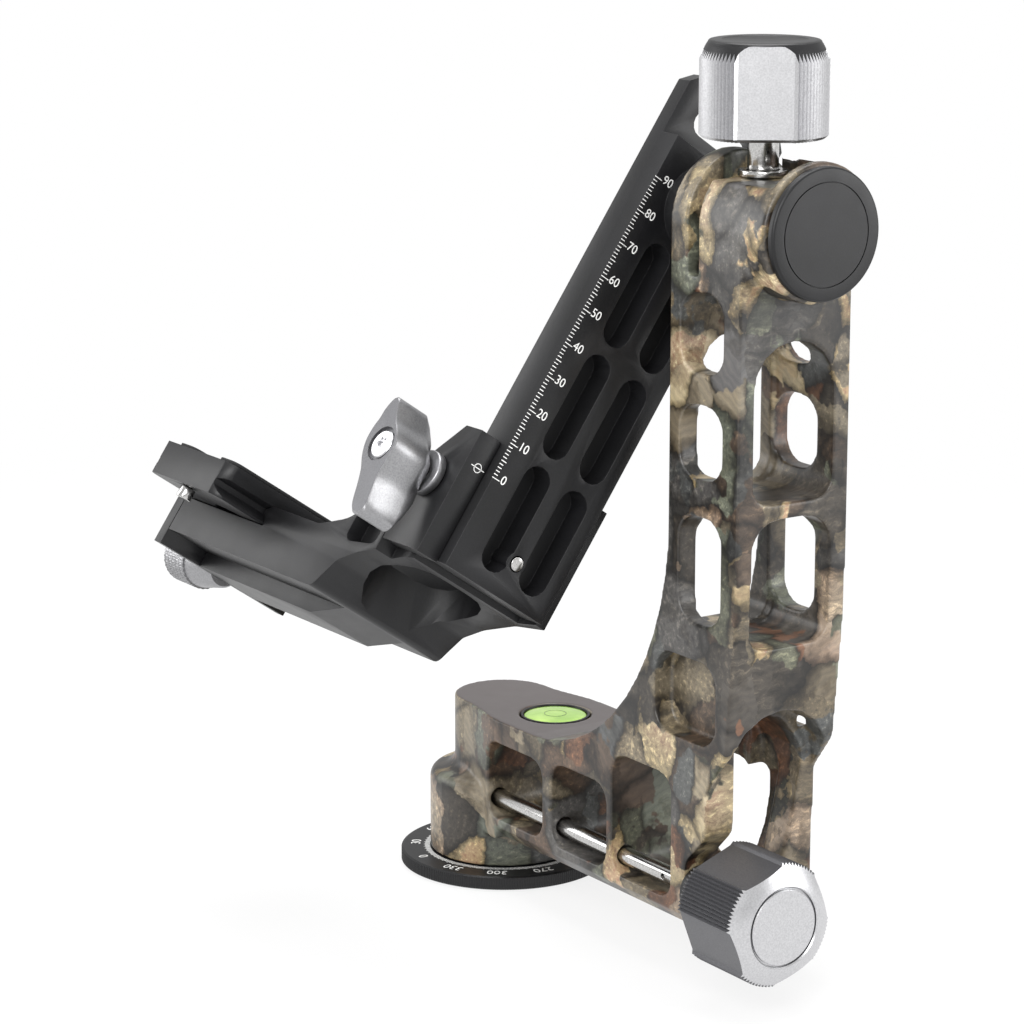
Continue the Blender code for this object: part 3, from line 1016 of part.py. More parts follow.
def main():
    clear_scene()
    make_base()
    pan = frame("pan_axis", (0, 0, 0))
    make_bracket(pan)
    make_pan_bearing(pan)
    make_level(pan)
    pan_shoe = frame("pan_shoe_slide", (0, ROD_Y, ROD_Z), pan)
    make_pan_lock(pan_shoe, frame("pan_knob_axis", (0, 0, 0), pan_shoe))
    swing = frame("tilt_axis", (0, 0, TILT_HEIGHT), pan, -TILT_ANGLE)
    make_axle(swing, pan)
    make_tilt_cap(pan)
    tilt_shoe = frame("tilt_shoe_slide", (TILT_KNOB_X, 0, TILT_HEIGHT), pan)
    make_tilt_lock(tilt_shoe, frame("tilt_knob_axis", (0, 0, 0), tilt_shoe))
    make_swing_arm(swing)
    cradle = frame("cradle_slide", (0, 0, 0), swing)
    make_cradle(cradle)
    rail_jaw = frame("rail_jaw_slide", (0, 0, 0), cradle)
    make_rail_clamp(rail_jaw, frame("wing_knob_axis", (WING_X, 0, WING_U), rail_jaw))
    platform_jaw = frame("platform_jaw_slide", (0, 0, 0), cradle)
    make_platform_clamp(platform_jaw, frame("platform_knob_axis", (0, 0, PLATFORM_SCREW_U), platform_jaw))
    make_plate(frame("plate_slide", (0, 0, 0), cradle))


if __name__ == "__main__":
    main()
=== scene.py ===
"""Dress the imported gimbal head: surface finishes, softened edges, scales, knurls and the studio."""

import json
import math

import bmesh
import bpy
from mathutils import Matrix, Vector

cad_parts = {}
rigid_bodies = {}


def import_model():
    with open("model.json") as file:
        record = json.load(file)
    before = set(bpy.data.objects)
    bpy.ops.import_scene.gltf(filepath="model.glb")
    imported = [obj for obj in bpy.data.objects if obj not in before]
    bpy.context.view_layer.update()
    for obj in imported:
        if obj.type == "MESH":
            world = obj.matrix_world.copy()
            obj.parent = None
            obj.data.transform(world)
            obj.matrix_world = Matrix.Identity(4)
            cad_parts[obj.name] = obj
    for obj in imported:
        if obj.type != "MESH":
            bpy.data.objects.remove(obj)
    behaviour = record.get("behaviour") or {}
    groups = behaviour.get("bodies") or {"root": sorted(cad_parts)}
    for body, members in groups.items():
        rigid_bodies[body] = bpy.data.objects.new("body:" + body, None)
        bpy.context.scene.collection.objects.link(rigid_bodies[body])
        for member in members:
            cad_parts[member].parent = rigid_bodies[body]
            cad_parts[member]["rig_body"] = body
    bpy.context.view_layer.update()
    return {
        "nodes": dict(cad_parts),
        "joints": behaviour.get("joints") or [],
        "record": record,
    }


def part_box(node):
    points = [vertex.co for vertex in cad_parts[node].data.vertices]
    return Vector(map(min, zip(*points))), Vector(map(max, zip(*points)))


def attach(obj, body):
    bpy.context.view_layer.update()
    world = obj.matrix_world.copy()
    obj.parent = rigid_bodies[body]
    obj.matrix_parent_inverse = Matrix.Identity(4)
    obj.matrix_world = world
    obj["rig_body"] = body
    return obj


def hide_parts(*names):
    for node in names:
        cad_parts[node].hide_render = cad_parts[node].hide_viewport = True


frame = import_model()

bl_info = {
    "name": "Gimbal head finish",
    "version": (1, 0, 0),
    "blender": (4, 5, 0),
    "location": "View3D > Sidebar > Gimbal head",
    "description": "Builds the dressed gimbal head around its packed model",
    "category": "Object",
}

MM = 0.001
NODES = frame["nodes"]
JOINTS = {joint["name"]: joint for joint in frame["joints"]}

OUT = Vector((1, 0, 0))
BACK = Vector((0, 1, 0))
UP = Vector((0, 0, 1))

# The swing arm's long axis and its cross axis at rest
ALONG = Vector(JOINTS["cradle_slide"]["axis"]).normalized()
ACROSS = Vector(JOINTS["plate_slide"]["axis"]).normalized()


def axes(first, second, third):
    """The turn that takes X, Y and Z to these three directions."""
    return Matrix((first, second, third)).transposed().to_4x4()


def pivot_of(joint):
    return Vector(JOINTS[joint]["pos_m"])


# The swing arm's own frame, in which the rail's marks and the wing stand
TILT_PIVOT = pivot_of("tilt_turn")
TILT_FRAME = Matrix.Translation(TILT_PIVOT) @ axes(OUT, ACROSS, ALONG)


def centre_of(node):
    low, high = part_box(node)
    return (low + high) / 2


def top_of(node):
    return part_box(node)[1].z


def linear(code):
    """Turn an sRGB hex colour into the linear colour a shader takes."""
    colour = []
    for start in (1, 3, 5):
        part = int(code[start:start + 2], 16) / 255
        colour.append(part / 12.92 if part <= 0.04045 else ((part + 0.055) / 1.055) ** 2.4)
    return (*colour, 1)


def add(tree, kind, inputs=None, **settings):
    """Add a shader node; an input is a value or another node's output."""
    made = tree.nodes.new(kind)
    for name, value in settings.items():
        setattr(made, name, value)
    for key, value in (inputs or {}).items():
        if isinstance(value, bpy.types.NodeSocket):
            tree.links.new(value, made.inputs[key])
        else:
            made.inputs[key].default_value = value
    return made


def blank(name, metallic, roughness):
    """A new material with its shader's plain values set."""
    made = bpy.data.materials.new(name)
    made.use_nodes = True
    shader = made.node_tree.nodes["Principled BSDF"]
    shader.inputs["Metallic"].default_value = metallic
    shader.inputs["Roughness"].default_value = roughness
    return made, made.node_tree, shader


def per_mm(size_mm):
    """Texture scale in object space, in repeats a metre, for a feature of this size."""
    return 1 / (size_mm * MM)


def ramp(tree, factor, stops, interpolation="LINEAR"):
    made = add(tree, "ShaderNodeValToRGB", {"Fac": factor})
    made.color_ramp.interpolation = interpolation
    elements = made.color_ramp.elements
    while len(elements) < len(stops):
        elements.new(1.0)
    for element, (place, colour) in zip(elements, stops):
        element.position = place
        element.color = linear(colour)
    return made.outputs["Color"]


def blend_colours(tree, factor, first, second, mode="MIX"):
    made = add(tree, "ShaderNodeMix", {"Factor": factor}, data_type="RGBA", blend_type=mode)
    for key, value in (("A", first), ("B", second)):
        socket = [item for item in made.inputs if item.name == key and item.type == "RGBA"][0]
        if isinstance(value, bpy.types.NodeSocket):
            tree.links.new(value, socket)
        else:
            socket.default_value = linear(value)
    return [item for item in made.outputs if item.type == "RGBA"][0]


def maths(tree, operation, first, second=0.0, third=0.0, clamp=False):
    inputs = {0: first, 1: second, 2: third}
    return add(tree, "ShaderNodeMath", inputs, operation=operation, use_clamp=clamp).outputs[0]


def noise(tree, place, size_mm, detail=3.0, roughness=0.5):
    inputs = {"Vector": place, "Scale": per_mm(size_mm), "Detail": detail, "Roughness": roughness}
    return add(tree, "ShaderNodeTexNoise", inputs).outputs


def varied(tree, shader, place, size_mm, base, spread):
    """Let the roughness wander a little about its base value."""
    drift = noise(tree, place, size_mm, 4.0)["Fac"]
    value = maths(tree, "MULTIPLY_ADD", drift, 2 * spread, base - spread)
    tree.links.new(value, shader.inputs["Roughness"])


def object_space(tree):
    return add(tree, "ShaderNodeTexCoord").outputs["Object"]


def blasted(tree, shader, place, grit_mm, depth_mm):
    """The fine matte dimples that bead blasting leaves."""
    grit = noise(tree, place, grit_mm, 2.0)["Fac"]
    bump = add(tree, "ShaderNodeBump", {"Height": grit, "Distance": depth_mm * MM, "Strength": 1.0})
    tree.links.new(bump.outputs["Normal"], shader.inputs["Normal"])
    return grit


def two_tone(tree, shader, factor, dark, light):
    """Let the colour drift between two tones with a texture."""
    tone = ramp(tree, factor, ((0.3, dark), (0.7, light)))
    tree.links.new(tone, shader.inputs["Base Color"])


def black_anodised():
    """Aluminium, bead blasted and dyed black: a charcoal sheen over fine grit, drawn at 0.35 mm to show."""
    made, tree, shader = blank("black_anodised_aluminium", 0.0, 0.42)
    place = object_space(tree)
    grit = blasted(tree, shader, place, 0.35, 0.012)
    tone = ramp(tree, noise(tree, place, 14.0)["Fac"], ((0.3, "#0f0f10"), (0.7, "#161618")))
    sparkle = ramp(tree, grit, ((0.45, "#000000"), (0.75, "#141416")))
    colour = blend_colours(tree, 0.5, tone, sparkle, "ADD")
    tree.links.new(colour, shader.inputs["Base Color"])
    varied(tree, shader, place, 6.0, 0.42, 0.05)
    shader.inputs["Specular IOR Level"].default_value = 0.4
    return made


def grey_anodised():
    """Aluminium, blasted and dyed grey: the even mid grey of the pan knob's sides and the wing's face."""
    made, tree, shader = blank("grey_anodised_aluminium", 0.35, 0.42)
    place = object_space(tree)
    two_tone(tree, shader, blasted(tree, shader, place, 0.4, 0.010), "#525255", "#5f5f62")
    varied(tree, shader, place, 5.0, 0.36, 0.05)
    return made


def satin_aluminium():
    """Bare aluminium, blasted to a bright satin with a faint sparkle."""
    made, tree, shader = blank("satin_aluminium", 1.0, 0.32)
    place = object_space(tree)
    two_tone(tree, shader, blasted(tree, shader, place, 0.45, 0.012), "#c2c2c4", "#d6d6d8")
    varied(tree, shader, place, 4.0, 0.32, 0.05)
    return made


def dull_aluminium():
    """Cast aluminium, tumbled to a grey satin: the wing, its collar and the platform knob."""
    made, tree, shader = blank("dull_aluminium", 1.0, 0.4)
    place = object_space(tree)
    two_tone(tree, shader, blasted(tree, shader, place, 0.45, 0.014), "#949496", "#a9a9ab")
    varied(tree, shader, place, 4.0, 0.4, 0.06)
    return made


def polished_steel():
    """Stainless steel, turned and polished: mirror-like with faint lathe rings."""
    made, tree, shader = blank("polished_steel", 1.0, 0.16)
    place = object_space(tree)
    two_tone(tree, shader, noise(tree, place, 0.5, 2.0)["Fac"], "#b4b3b2", "#d2d1cf")
    varied(tree, shader, place, 2.0, 0.17, 0.05)
    return made


def turned_brass():
    """Brass bar, turned: warm yellow with a fine cut surface."""
    made, tree, shader = blank("turned_brass", 1.0, 0.30)
    two_tone(tree, shader, noise(tree, object_space(tree), 0.4, 2.0)["Fac"], "#a98a4e", "#c6a869")
    return made


def moulded_nylon():
    """Nylon, moulded: milky and slightly waxy."""
    made, tree, shader = blank("moulded_nylon", 0.0, 0.5)
    two_tone(tree, shader, noise(tree, object_space(tree), 3.0)["Fac"], "#bdbab0", "#cecbc2")
    return made


def moulded_rubber():
    """Rubber, moulded: dead black with a powdery bloom."""
    made, tree, shader = blank("moulded_rubber", 0.0, 0.82)
    two_tone(tree, shader, blasted(tree, shader, object_space(tree), 0.5, 0.03), "#171718", "#252526")
    return made


def green_acrylic():
    """Acrylic over dyed spirit: bright yellow green with a polished face, and a painted highlight that makes
    it paler to one side.
    """
    made, tree, shader = blank("green_acrylic", 0.0, 0.08)
    # The pale yellow green tone is a painted highlight that lightens one side of the level
    two_tone(tree, shader, noise(tree, object_space(tree), 9.0, 2.0)["Fac"], "#7fae2f", "#b4da63")
    shader.inputs["Coat Weight"].default_value = 0.6
    return made


def white_paint():
    """Epoxy ink, screen printed: flat off-white, a little rough."""
    made, tree, shader = blank("white_printed_ink", 0.0, 0.55)
    two_tone(tree, shader, noise(tree, object_space(tree), 0.8, 2.0)["Fac"], "#dcdcda", "#f4f4f2")
    return made


def deck_mask(tree, place):
    """One on the hub's flat top face, which is left plain, and zero elsewhere."""
    normal = add(tree, "ShaderNodeTexCoord").outputs["Normal"]
    upward = add(tree, "ShaderNodeSeparateXYZ", {0: normal}).outputs["Z"]
    parts = add(tree, "ShaderNodeSeparateXYZ", {0: place}).outputs
    deck = top_of("level_cup")
    above = maths(tree, "GREATER_THAN", parts["Z"], deck - 0.5 * MM)
    below = maths(tree, "LESS_THAN", parts["Z"], deck + 0.6 * MM)
    facing = maths(tree, "MULTIPLY_ADD", upward, 8.0, -6.6, clamp=True)
    return maths(tree, "MULTIPLY", maths(tree, "MULTIPLY", above, below), facing)


def wandering(tree, place, size_mm, reach_mm):
    """Coordinates pushed about by noise, so that what is drawn in them gets wandering edges."""
    push = noise(tree, place, size_mm, 5.0, 0.6)["Color"]
    for operation, inputs in (
        ("SUBTRACT", {1: (0.5, 0.5, 0.5)}), ("SCALE", {"Scale": reach_mm * MM}), ("ADD", {1: place}),
    ):
        push = add(tree, "ShaderNodeVectorMath", {0: push, **inputs}, operation=operation).outputs[0]
    return push


def stretched(tree, place, turn, shares):
    """Coordinates turned and squeezed, for grain that runs one way."""
    inputs = {"Vector": place, "Rotation": turn, "Scale": shares}
    return add(tree, "ShaderNodeMapping", inputs).outputs[0]


def patches(tree, place, size_mm, colours):
    """Random patches in the given colours, each darker towards one side, with a soft shadow at its rim."""
    inputs = {"Vector": place, "Scale": per_mm(size_mm)}
    cells = add(tree, "ShaderNodeTexVoronoi", inputs).outputs
    rims = add(tree, "ShaderNodeTexVoronoi", inputs, feature="DISTANCE_TO_EDGE").outputs
    pick = add(tree, "ShaderNodeSeparateColor", {0: cells["Color"]}).outputs
    stops = [(step / len(colours), colour) for step, colour in enumerate(colours)]
    flat = ramp(tree, pick[0], stops, "CONSTANT")
    glow = ramp(tree, cells["Distance"], ((0.05, "#aaa79f"), (0.45, "#84817c"), (0.85, "#5a5854")))
    rounded = blend_colours(tree, 0.7, flat, glow, "OVERLAY")
    shadow = ramp(tree, rims["Distance"], ((0.0, "#35302b"), (0.03, "#a09b94"), (0.09, "#ffffff")))
    return blend_colours(tree, 0.8, rounded, shadow, "MULTIPLY"), pick


# The camouflage's wide patches, the closer ones printed over them, and the tones of the detail in both
WIDE_PATCHES = ("#b0a693", "#77675b", "#c6bdac", "#7a7a7d", "#958a77", "#d3cbbb", "#69645f", "#a69d8d",
                "#856f5f")
CLOSE_PATCHES = ("#888d7e", "#9a7159", "#d8cebc", "#767b80", "#5b5651", "#b4a994", "#8d958a")
BARK_TONES = ((0.36, "#1d1a16"), (0.45, "#6b665d"), (0.55, "#8f8b82"), (0.64, "#dcd4c4"))
LICHEN_TONES = ((0.37, "#26231f"), (0.45, "#76726a"), (0.56, "#8a877f"), (0.64, "#e4dccb"))
VEIN_TONES = ((0.0, "#4a463f"), (0.12, "#838078"), (0.8, "#8e8a82"), (1.0, "#b3ada0"))
DEPTH_TONES = ((0.34, "#4a443e"), (0.43, "#c0bbb3"), (0.5, "#ffffff"))
DECK_COLOUR = "#4d4645"


def printed_camouflage():
    """Aluminium under a water-transfer print and satin lacquer: overlapping patches of leaf and bark.

    The patches are random cells with wandering edges, 9 to 25 mm across, not anyone's drawn pattern.
    Some carry stringy bark grain, some lichen specks and some the fine veins of a leaf.
    """
    made, tree, shader = blank("printed_camouflage", 0.0, 0.44)
    place = object_space(tree)
    wide = wandering(tree, place, 11.0, 9.0)
    wide_grain = stretched(tree, wide, (0.4, 0.2, 0.5), (1.0, 0.6, 0.8))
    under, pick = patches(tree, wide_grain, 17.0, WIDE_PATCHES)
    close = wandering(tree, place, 6.0, 5.0)
    close_grain = stretched(tree, close, (-0.6, 0.5, -0.3), (0.9, 1.0, 0.45))
    over, other = patches(tree, close_grain, 12.0, CLOSE_PATCHES)
    split = noise(tree, place, 17.0, 4.0)["Fac"]
    laid_over = ramp(tree, split, ((0.515, "#000000"), (0.53, "#ffffff")))
    colour = blend_colours(tree, laid_over, under, over)
    bark_grain = stretched(tree, close, (0.5, 0.3, 0.7), (1.0, 0.16, 1.0))
    bark = ramp(tree, noise(tree, bark_grain, 1.5, 8.0, 0.68)["Fac"], BARK_TONES)
    with_bark = blend_colours(tree, 0.72, colour, bark, "OVERLAY")
    lichen = ramp(tree, noise(tree, place, 1.3, 9.0, 0.72)["Fac"], LICHEN_TONES)
    with_lichen = blend_colours(tree, 0.72, colour, lichen, "OVERLAY")
    vein_grain = stretched(tree, close, (0.2, 0.9, 0.4), (1.0, 1.0, 1.0))
    veins = add(tree, "ShaderNodeTexWave", {
        "Vector": vein_grain, "Scale": per_mm(7.0), "Distortion": 3.5, "Detail": 3.0, "Detail Scale": 1.6})
    veined = blend_colours(tree, 0.35, colour, ramp(tree, veins.outputs["Fac"], VEIN_TONES), "OVERLAY")
    colour = blend_colours(tree, maths(tree, "GREATER_THAN", pick[1], 0.42), with_bark, with_lichen)
    colour = blend_colours(tree, maths(tree, "GREATER_THAN", other[2], 0.72), colour, veined)
    depth = ramp(tree, noise(tree, wide, 13.0, 6.0, 0.6)["Fac"], DEPTH_TONES)
    colour = blend_colours(tree, 0.7, colour, depth, "MULTIPLY")
    colour = blend_colours(tree, deck_mask(tree, place), colour, DECK_COLOUR)
    tree.links.new(colour, shader.inputs["Base Color"])
    varied(tree, shader, place, 8.0, 0.42, 0.06)
    shader.inputs["Coat Weight"].default_value = 0.2
    shader.inputs["Coat Roughness"].default_value = 0.3
    return made


MATERIALS = {}


def surface(maker):
    if maker.__name__ not in MATERIALS:
        MATERIALS[maker.__name__] = maker()
    return MATERIALS[maker.__name__]


SLOT_MAKERS = {
    "black_anodised_aluminium": black_anodised,
    "grey_anodised_aluminium": grey_anodised,
    "satin_aluminium": satin_aluminium,
    "polished_steel": polished_steel,
    "turned_brass": turned_brass,
    "moulded_nylon": moulded_nylon,
    "moulded_rubber": moulded_rubber,
    "green_acrylic": green_acrylic,
    "printed_camouflage": printed_camouflage,
}
SLOT_OF = {item["node"]: item["material_slot"] for item in frame["record"]["subparts"]}


def mesh_of(shape, name):
    """Turn a finished bmesh into a mesh."""
    mesh = bpy.data.meshes.new(name)
    shape.to_mesh(mesh)
    shape.free()
    return mesh


def cad_mesh(node, name):
    """A copy of a CAD node's mesh with its corners welded and its flat faces whole."""
    shape = bmesh.new()
    shape.from_mesh(NODES[node].data)
    bmesh.ops.remove_doubles(shape, verts=shape.verts, dist=0.002 * MM)
    bmesh.ops.dissolve_limit(shape, angle_limit=math.radians(0.4), verts=shape.verts, edges=shape.edges)
    return mesh_of(shape, name)


def add_piece(name, mesh, body, slot, maker=None):
    """Link a mesh as a shown piece, give it its finish and let it ride on a body."""
    piece = bpy.data.objects.new(name, mesh)
    bpy.context.scene.collection.objects.link(piece)
    mesh.materials.clear()
    mesh.materials.append(surface(maker or SLOT_MAKERS[slot]))
    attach(piece, body)
    return piece


def soften(piece, width_mm):
    """Break the sharp edges as a deburred or cast part has them."""
    bevel = piece.modifiers.new("softened_edges", "BEVEL")
    bevel.width = width_mm * MM
    bevel.segments = 2
    bevel.limit_method = "ANGLE"
    bevel.angle_limit = math.radians(32)
    bevel.use_clamp_overlap = True
    bevel.harden_normals = True


def dress(node, width_mm, maker=None):
    """Stand a copy of a CAD node in its place, in its real finish, with edges softened by this width."""
    name = node + "_finished"
    piece = add_piece(name, cad_mesh(node, name), NODES[node]["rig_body"], SLOT_OF[node], maker)
    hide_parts(node)
    piece.data.shade_smooth()
    if width_mm:
        soften(piece, width_mm)
    else:
        piece.data.set_sharp_from_angle(angle=math.radians(35))
    return piece


def shape_tool(piece, operation, outline, start, end):
    """Cut or add a prism that runs along X, with its outline given across Y and up Z in millimetres."""
    shape = bmesh.new()
    ends = []
    for place in (start, end):
        ends.append([shape.verts.new((place * MM, over * MM, up * MM)) for over, up in outline])
    shape.faces.new(ends[0])
    shape.faces.new(ends[1])
    for step in range(len(outline)):
        before = step - 1
        shape.faces.new((ends[0][before], ends[0][step], ends[1][step], ends[1][before]))
    bmesh.ops.recalc_face_normals(shape, faces=shape.faces)
    tool = bpy.data.objects.new("shape_tool", mesh_of(shape, "shape_tool"))
    bpy.context.scene.collection.objects.link(tool)
    change = piece.modifiers.new("shaped", "BOOLEAN")
    change.operation = operation
    change.solver = "EXACT"
    change.object = tool
    apply_modifiers(piece)
    bpy.data.objects.remove(tool)


def apply_modifiers(piece):
    """Bake a piece's modifiers into its mesh."""
    bpy.context.view_layer.update()
    mesh = bpy.data.meshes.new_from_object(piece.evaluated_get(bpy.context.evaluated_depsgraph_get()))
    piece.modifiers.clear()
    piece.data = mesh


def loft(name, rings, place, body, slot, maker=None, sharp_degrees=28):
    """Join rings of points in order; one that is a single point closes an end."""
    shape = bmesh.new()
    levels = [[shape.verts.new(place @ Vector(point)) for point in ring] for ring in rings]
    pairs = list(zip(levels, levels[1:]))
    if len(levels[0]) > 1 and len(levels[-1]) > 1:
        pairs.append((levels[-1], levels[0]))
    for lower, upper in pairs:
        count = max(len(lower), len(upper))
        for step in range(count):
            after = (step + 1) % count
            corners = [lower[step % len(lower)], lower[after % len(lower)]]
            corners += [upper[after % len(upper)], upper[step % len(upper)]]
            shape.faces.new(list(dict.fromkeys(corners)))
    bmesh.ops.recalc_face_normals(shape, faces=shape.faces)
    mesh = mesh_of(shape, name)
    mesh.shade_smooth()
    mesh.set_sharp_from_angle(angle=math.radians(sharp_degrees))
    return add_piece(name, mesh, body, slot, maker)


def polar(radius, angle, height):
    return (radius * math.cos(angle), radius * math.sin(angle), height)


def turns(count):
    """Evenly spaced angles all the way round."""
    return [2 * math.pi * step / count for step in range(count)]


def ring_of(angles, radius, height):
    return [polar(radius, angle, height) for angle in angles]


def stand_in(node, rings, place, maker=None, sharp_degrees=28):
    """Loft the finished form of a CAD node and let it take the node's place."""
    body = NODES[node]["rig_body"]
    piece = loft(node + "_finished", rings, place, body, SLOT_OF[node], maker, sharp_degrees)
    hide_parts(node)
    return piece


def turned(profile, sides=96):
    """Rings that turn a profile of (radius, height) pairs about Z."""
    angles = turns(sides)
    return [ring_of(angles, radius, height) if radius else [(0, 0, height)] for radius, height in profile]


def standing(foot, direction):
    """The place of a turned shape that stands on this foot."""
    return Matrix.Translation(foot) @ direction.to_track_quat("Z", "Y").to_matrix().to_4x4()


# Points across a knob's flat and rings over its chamfer
FLAT_STEPS = 12
CHAMFER_STEPS = 5


def knob_section(radius, depth, lobes, teeth, arc_degrees, turn_degrees):
    """Angle and reach of each point round a knob: toothed arcs of this width with flats between them."""
    points = []
    arc_half = math.radians(arc_degrees / 2)
    flat_half = math.pi / lobes - arc_half
    for lobe in range(lobes):
        middle = math.radians(turn_degrees) + lobe * 2 * math.pi / lobes
        for step in range(2 * teeth + 1):
            share = step / teeth - 1
            points.append((middle + arc_half * share, radius - (0 if step % 2 else depth)))
        centre = middle + math.pi / lobes
        for step in range(1, FLAT_STEPS):
            away = flat_half * (2 * step / FLAT_STEPS - 1)
            points.append((centre + away, (radius - depth) * math.cos(flat_half) / math.cos(away)))
    return points


def crowned(section, crown_radius, crown_height, fall, curve):
    """Rings that carry a knob's section up over its domed chamfer to a round crown."""
    widest = max(reach for angle, reach in section)
    rings = []
    for step in range(CHAMFER_STEPS + 1):
        share = step / CHAMFER_STEPS
        ring = []
        for angle, reach in section:
            radius = reach + (crown_radius - reach) * share
            outward = max(0.0, radius - crown_radius) / (widest - crown_radius)
            drop = fall * outward ** curve
            ring.append(polar(radius, angle, crown_height - drop))
        rings.append(ring)
    return rings


def level_ring(section, inset, height):
    """A knob's section at one height, drawn in by this much."""
    return [polar(reach - inset, angle, height) for angle, reach in section]


def round_ring(section, radius, height):
    """A circle with its points at the angles of a knob's section."""
    return ring_of([angle for angle, reach in section], radius, height)


# The corners of a printed mark, how far its ink reaches out of the face and into it, and the font's size for
# each unit of a digit's height
RECTANGLE = ((-1, -1), (1, -1), (1, 1), (-1, 1))
INK_THICKNESS_MM = 0.05
FONT_SHARE = 1.38


def print_marks(name, marks, body):
    """Make printed marks: each is a rectangle with a centre, two half-edges and the normal it stands on."""
    shape = bmesh.new()
    for middle, half_long, half_wide, normal in marks:
        lift = normal * INK_THICKNESS_MM * MM
        corners = [middle + half_long * along + half_wide * over for along, over in RECTANGLE]
        low = [shape.verts.new(corner - lift) for corner in corners]
        high = [shape.verts.new(corner + lift) for corner in corners]
        shape.faces.new(low[::-1])
        shape.faces.new(high)
        for step in range(len(corners)):
            after = (step + 1) % len(corners)
            shape.faces.new((low[step], low[after], high[after], high[step]))
    return add_piece(name, mesh_of(shape, name), body, "moulded_nylon", white_paint)


def print_number(name, number, height_mm, middle, right, up):
    """The mesh of a plain number on a face, reading along right with its top towards up."""
    curve = bpy.data.curves.new(name, "FONT")
    curve.body = str(number)
    curve.size = height_mm * MM * FONT_SHARE
    curve.align_x = "CENTER"
    curve.align_y = "CENTER"
    curve.extrude = 0.04 * MM
    curve.resolution_u = 4
    writer = bpy.data.objects.new(name + "_text", curve)
    bpy.context.scene.collection.objects.link(writer)
    bpy.context.view_layer.update()
    mesh = bpy.data.meshes.new_from_object(writer.evaluated_get(bpy.context.evaluated_depsgraph_get()))
    bpy.data.objects.remove(writer)
    mesh.transform(Matrix.Translation(middle) @ axes(right, up, right.cross(up)))
    return mesh


def joined_print(name, meshes, body):
    """Join printed numbers into one piece."""
    shape = bmesh.new()
    for mesh in meshes:
        shape.from_mesh(mesh)
        bpy.data.meshes.remove(mesh)
    return add_piece(name, mesh_of(shape, name), body, "moulded_nylon", white_paint)


class HeadSettings(bpy.types.PropertyGroup):
    """Sizes and colours that a user would change."""

    tick_width: bpy.props.FloatProperty(
        name="Tick width", description="Width of a printed scale tick", default=0.22 * MM, unit="LENGTH")
    edge_radius: bpy.props.FloatProperty(
        name="Bracket edge radius", description="How round the bracket's edges are", default=0.9 * MM,
        unit="LENGTH")
    knurl_depth: bpy.props.FloatProperty(
        name="Knurl depth", description="Depth of the diamond knurl", default=0.32 * MM, unit="LENGTH")
    floor_colour: bpy.props.FloatVectorProperty(
        name="Floor colour", description="Colour of the studio floor", default=(0.86, 0.86, 0.86),
        subtype="COLOR", size=3)


# The base disc's serrated rim and the scale on its face, with the angle in degrees of the number 0
RIM_TEETH = 260
RIM_EDGE = 0.35 * MM
TICK_GAP = 0.2 * MM
TICK_LENGTH = 1.5 * MM
FIFTH_TICK_LENGTH = 1.9 * MM
TICK_SHARE = 0.38
NUMBER_REACH = 26.3 * MM
ZERO_ANGLE = 262


class GIMBAL_OT_base(bpy.types.Operator):
    """Dress the base disc: serrated rim, degree ticks and numbers"""

    bl_idname = "gimbal.base"
    bl_label = "Base disc"

    def execute(self, context):
        low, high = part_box("base_disc")
        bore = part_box("thread_bush")[1].x + 0.3 * MM
        flat = high.x - 2 * RIM_EDGE
        rim = high.x - RIM_EDGE / 2
        tooth = RIM_EDGE / 2
        rings = []
        for reach, height, depth in (
            (bore, low.z, 0), (flat, low.z, 0), (rim, low.z + RIM_EDGE, tooth),
            (rim, high.z - RIM_EDGE, tooth), (flat, high.z, 0), (bore, high.z, 0),
        ):
            ring = [polar(reach + depth * (step % 2), math.pi * step / RIM_TEETH, height)
                    for step in range(2 * RIM_TEETH)]
            rings.append(ring)
        stand_in("base_disc", rings, Matrix(), sharp_degrees=25)
        self.scale(high.z, context.scene.gimbal_head.tick_width)
        for node in ("thread_bush", "pan_spindle"):
            dress(node, 0.15)
        return {"FINISHED"}

    def scale(self, height, tick_width):
        """Ticks that start at the edge of the hub, and a number for every thirty of them."""
        start = TICK_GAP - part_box("l_bracket")[0].x
        marks = []
        for degree in range(360):
            outward = Vector(polar(1, math.radians(degree), 0))
            length = FIFTH_TICK_LENGTH if degree % 5 == 2 else TICK_LENGTH
            middle = outward * (start + length / 2) + UP * height
            marks.append((middle, outward * length / 2, UP.cross(outward) * tick_width * TICK_SHARE, UP))
        print_marks("pan_scale_ticks", marks, "base")
        meshes = []
        for number in range(0, 360, 30):
            outward = Vector(polar(1, math.radians(ZERO_ANGLE - number), 0))
            place = outward * NUMBER_REACH + UP * height
            right = outward.cross(UP)
            meshes.append(print_number("pan_number_%d" % number, number, 3.0, place, right, outward))
        joined_print("pan_scale_numbers", meshes, "base")


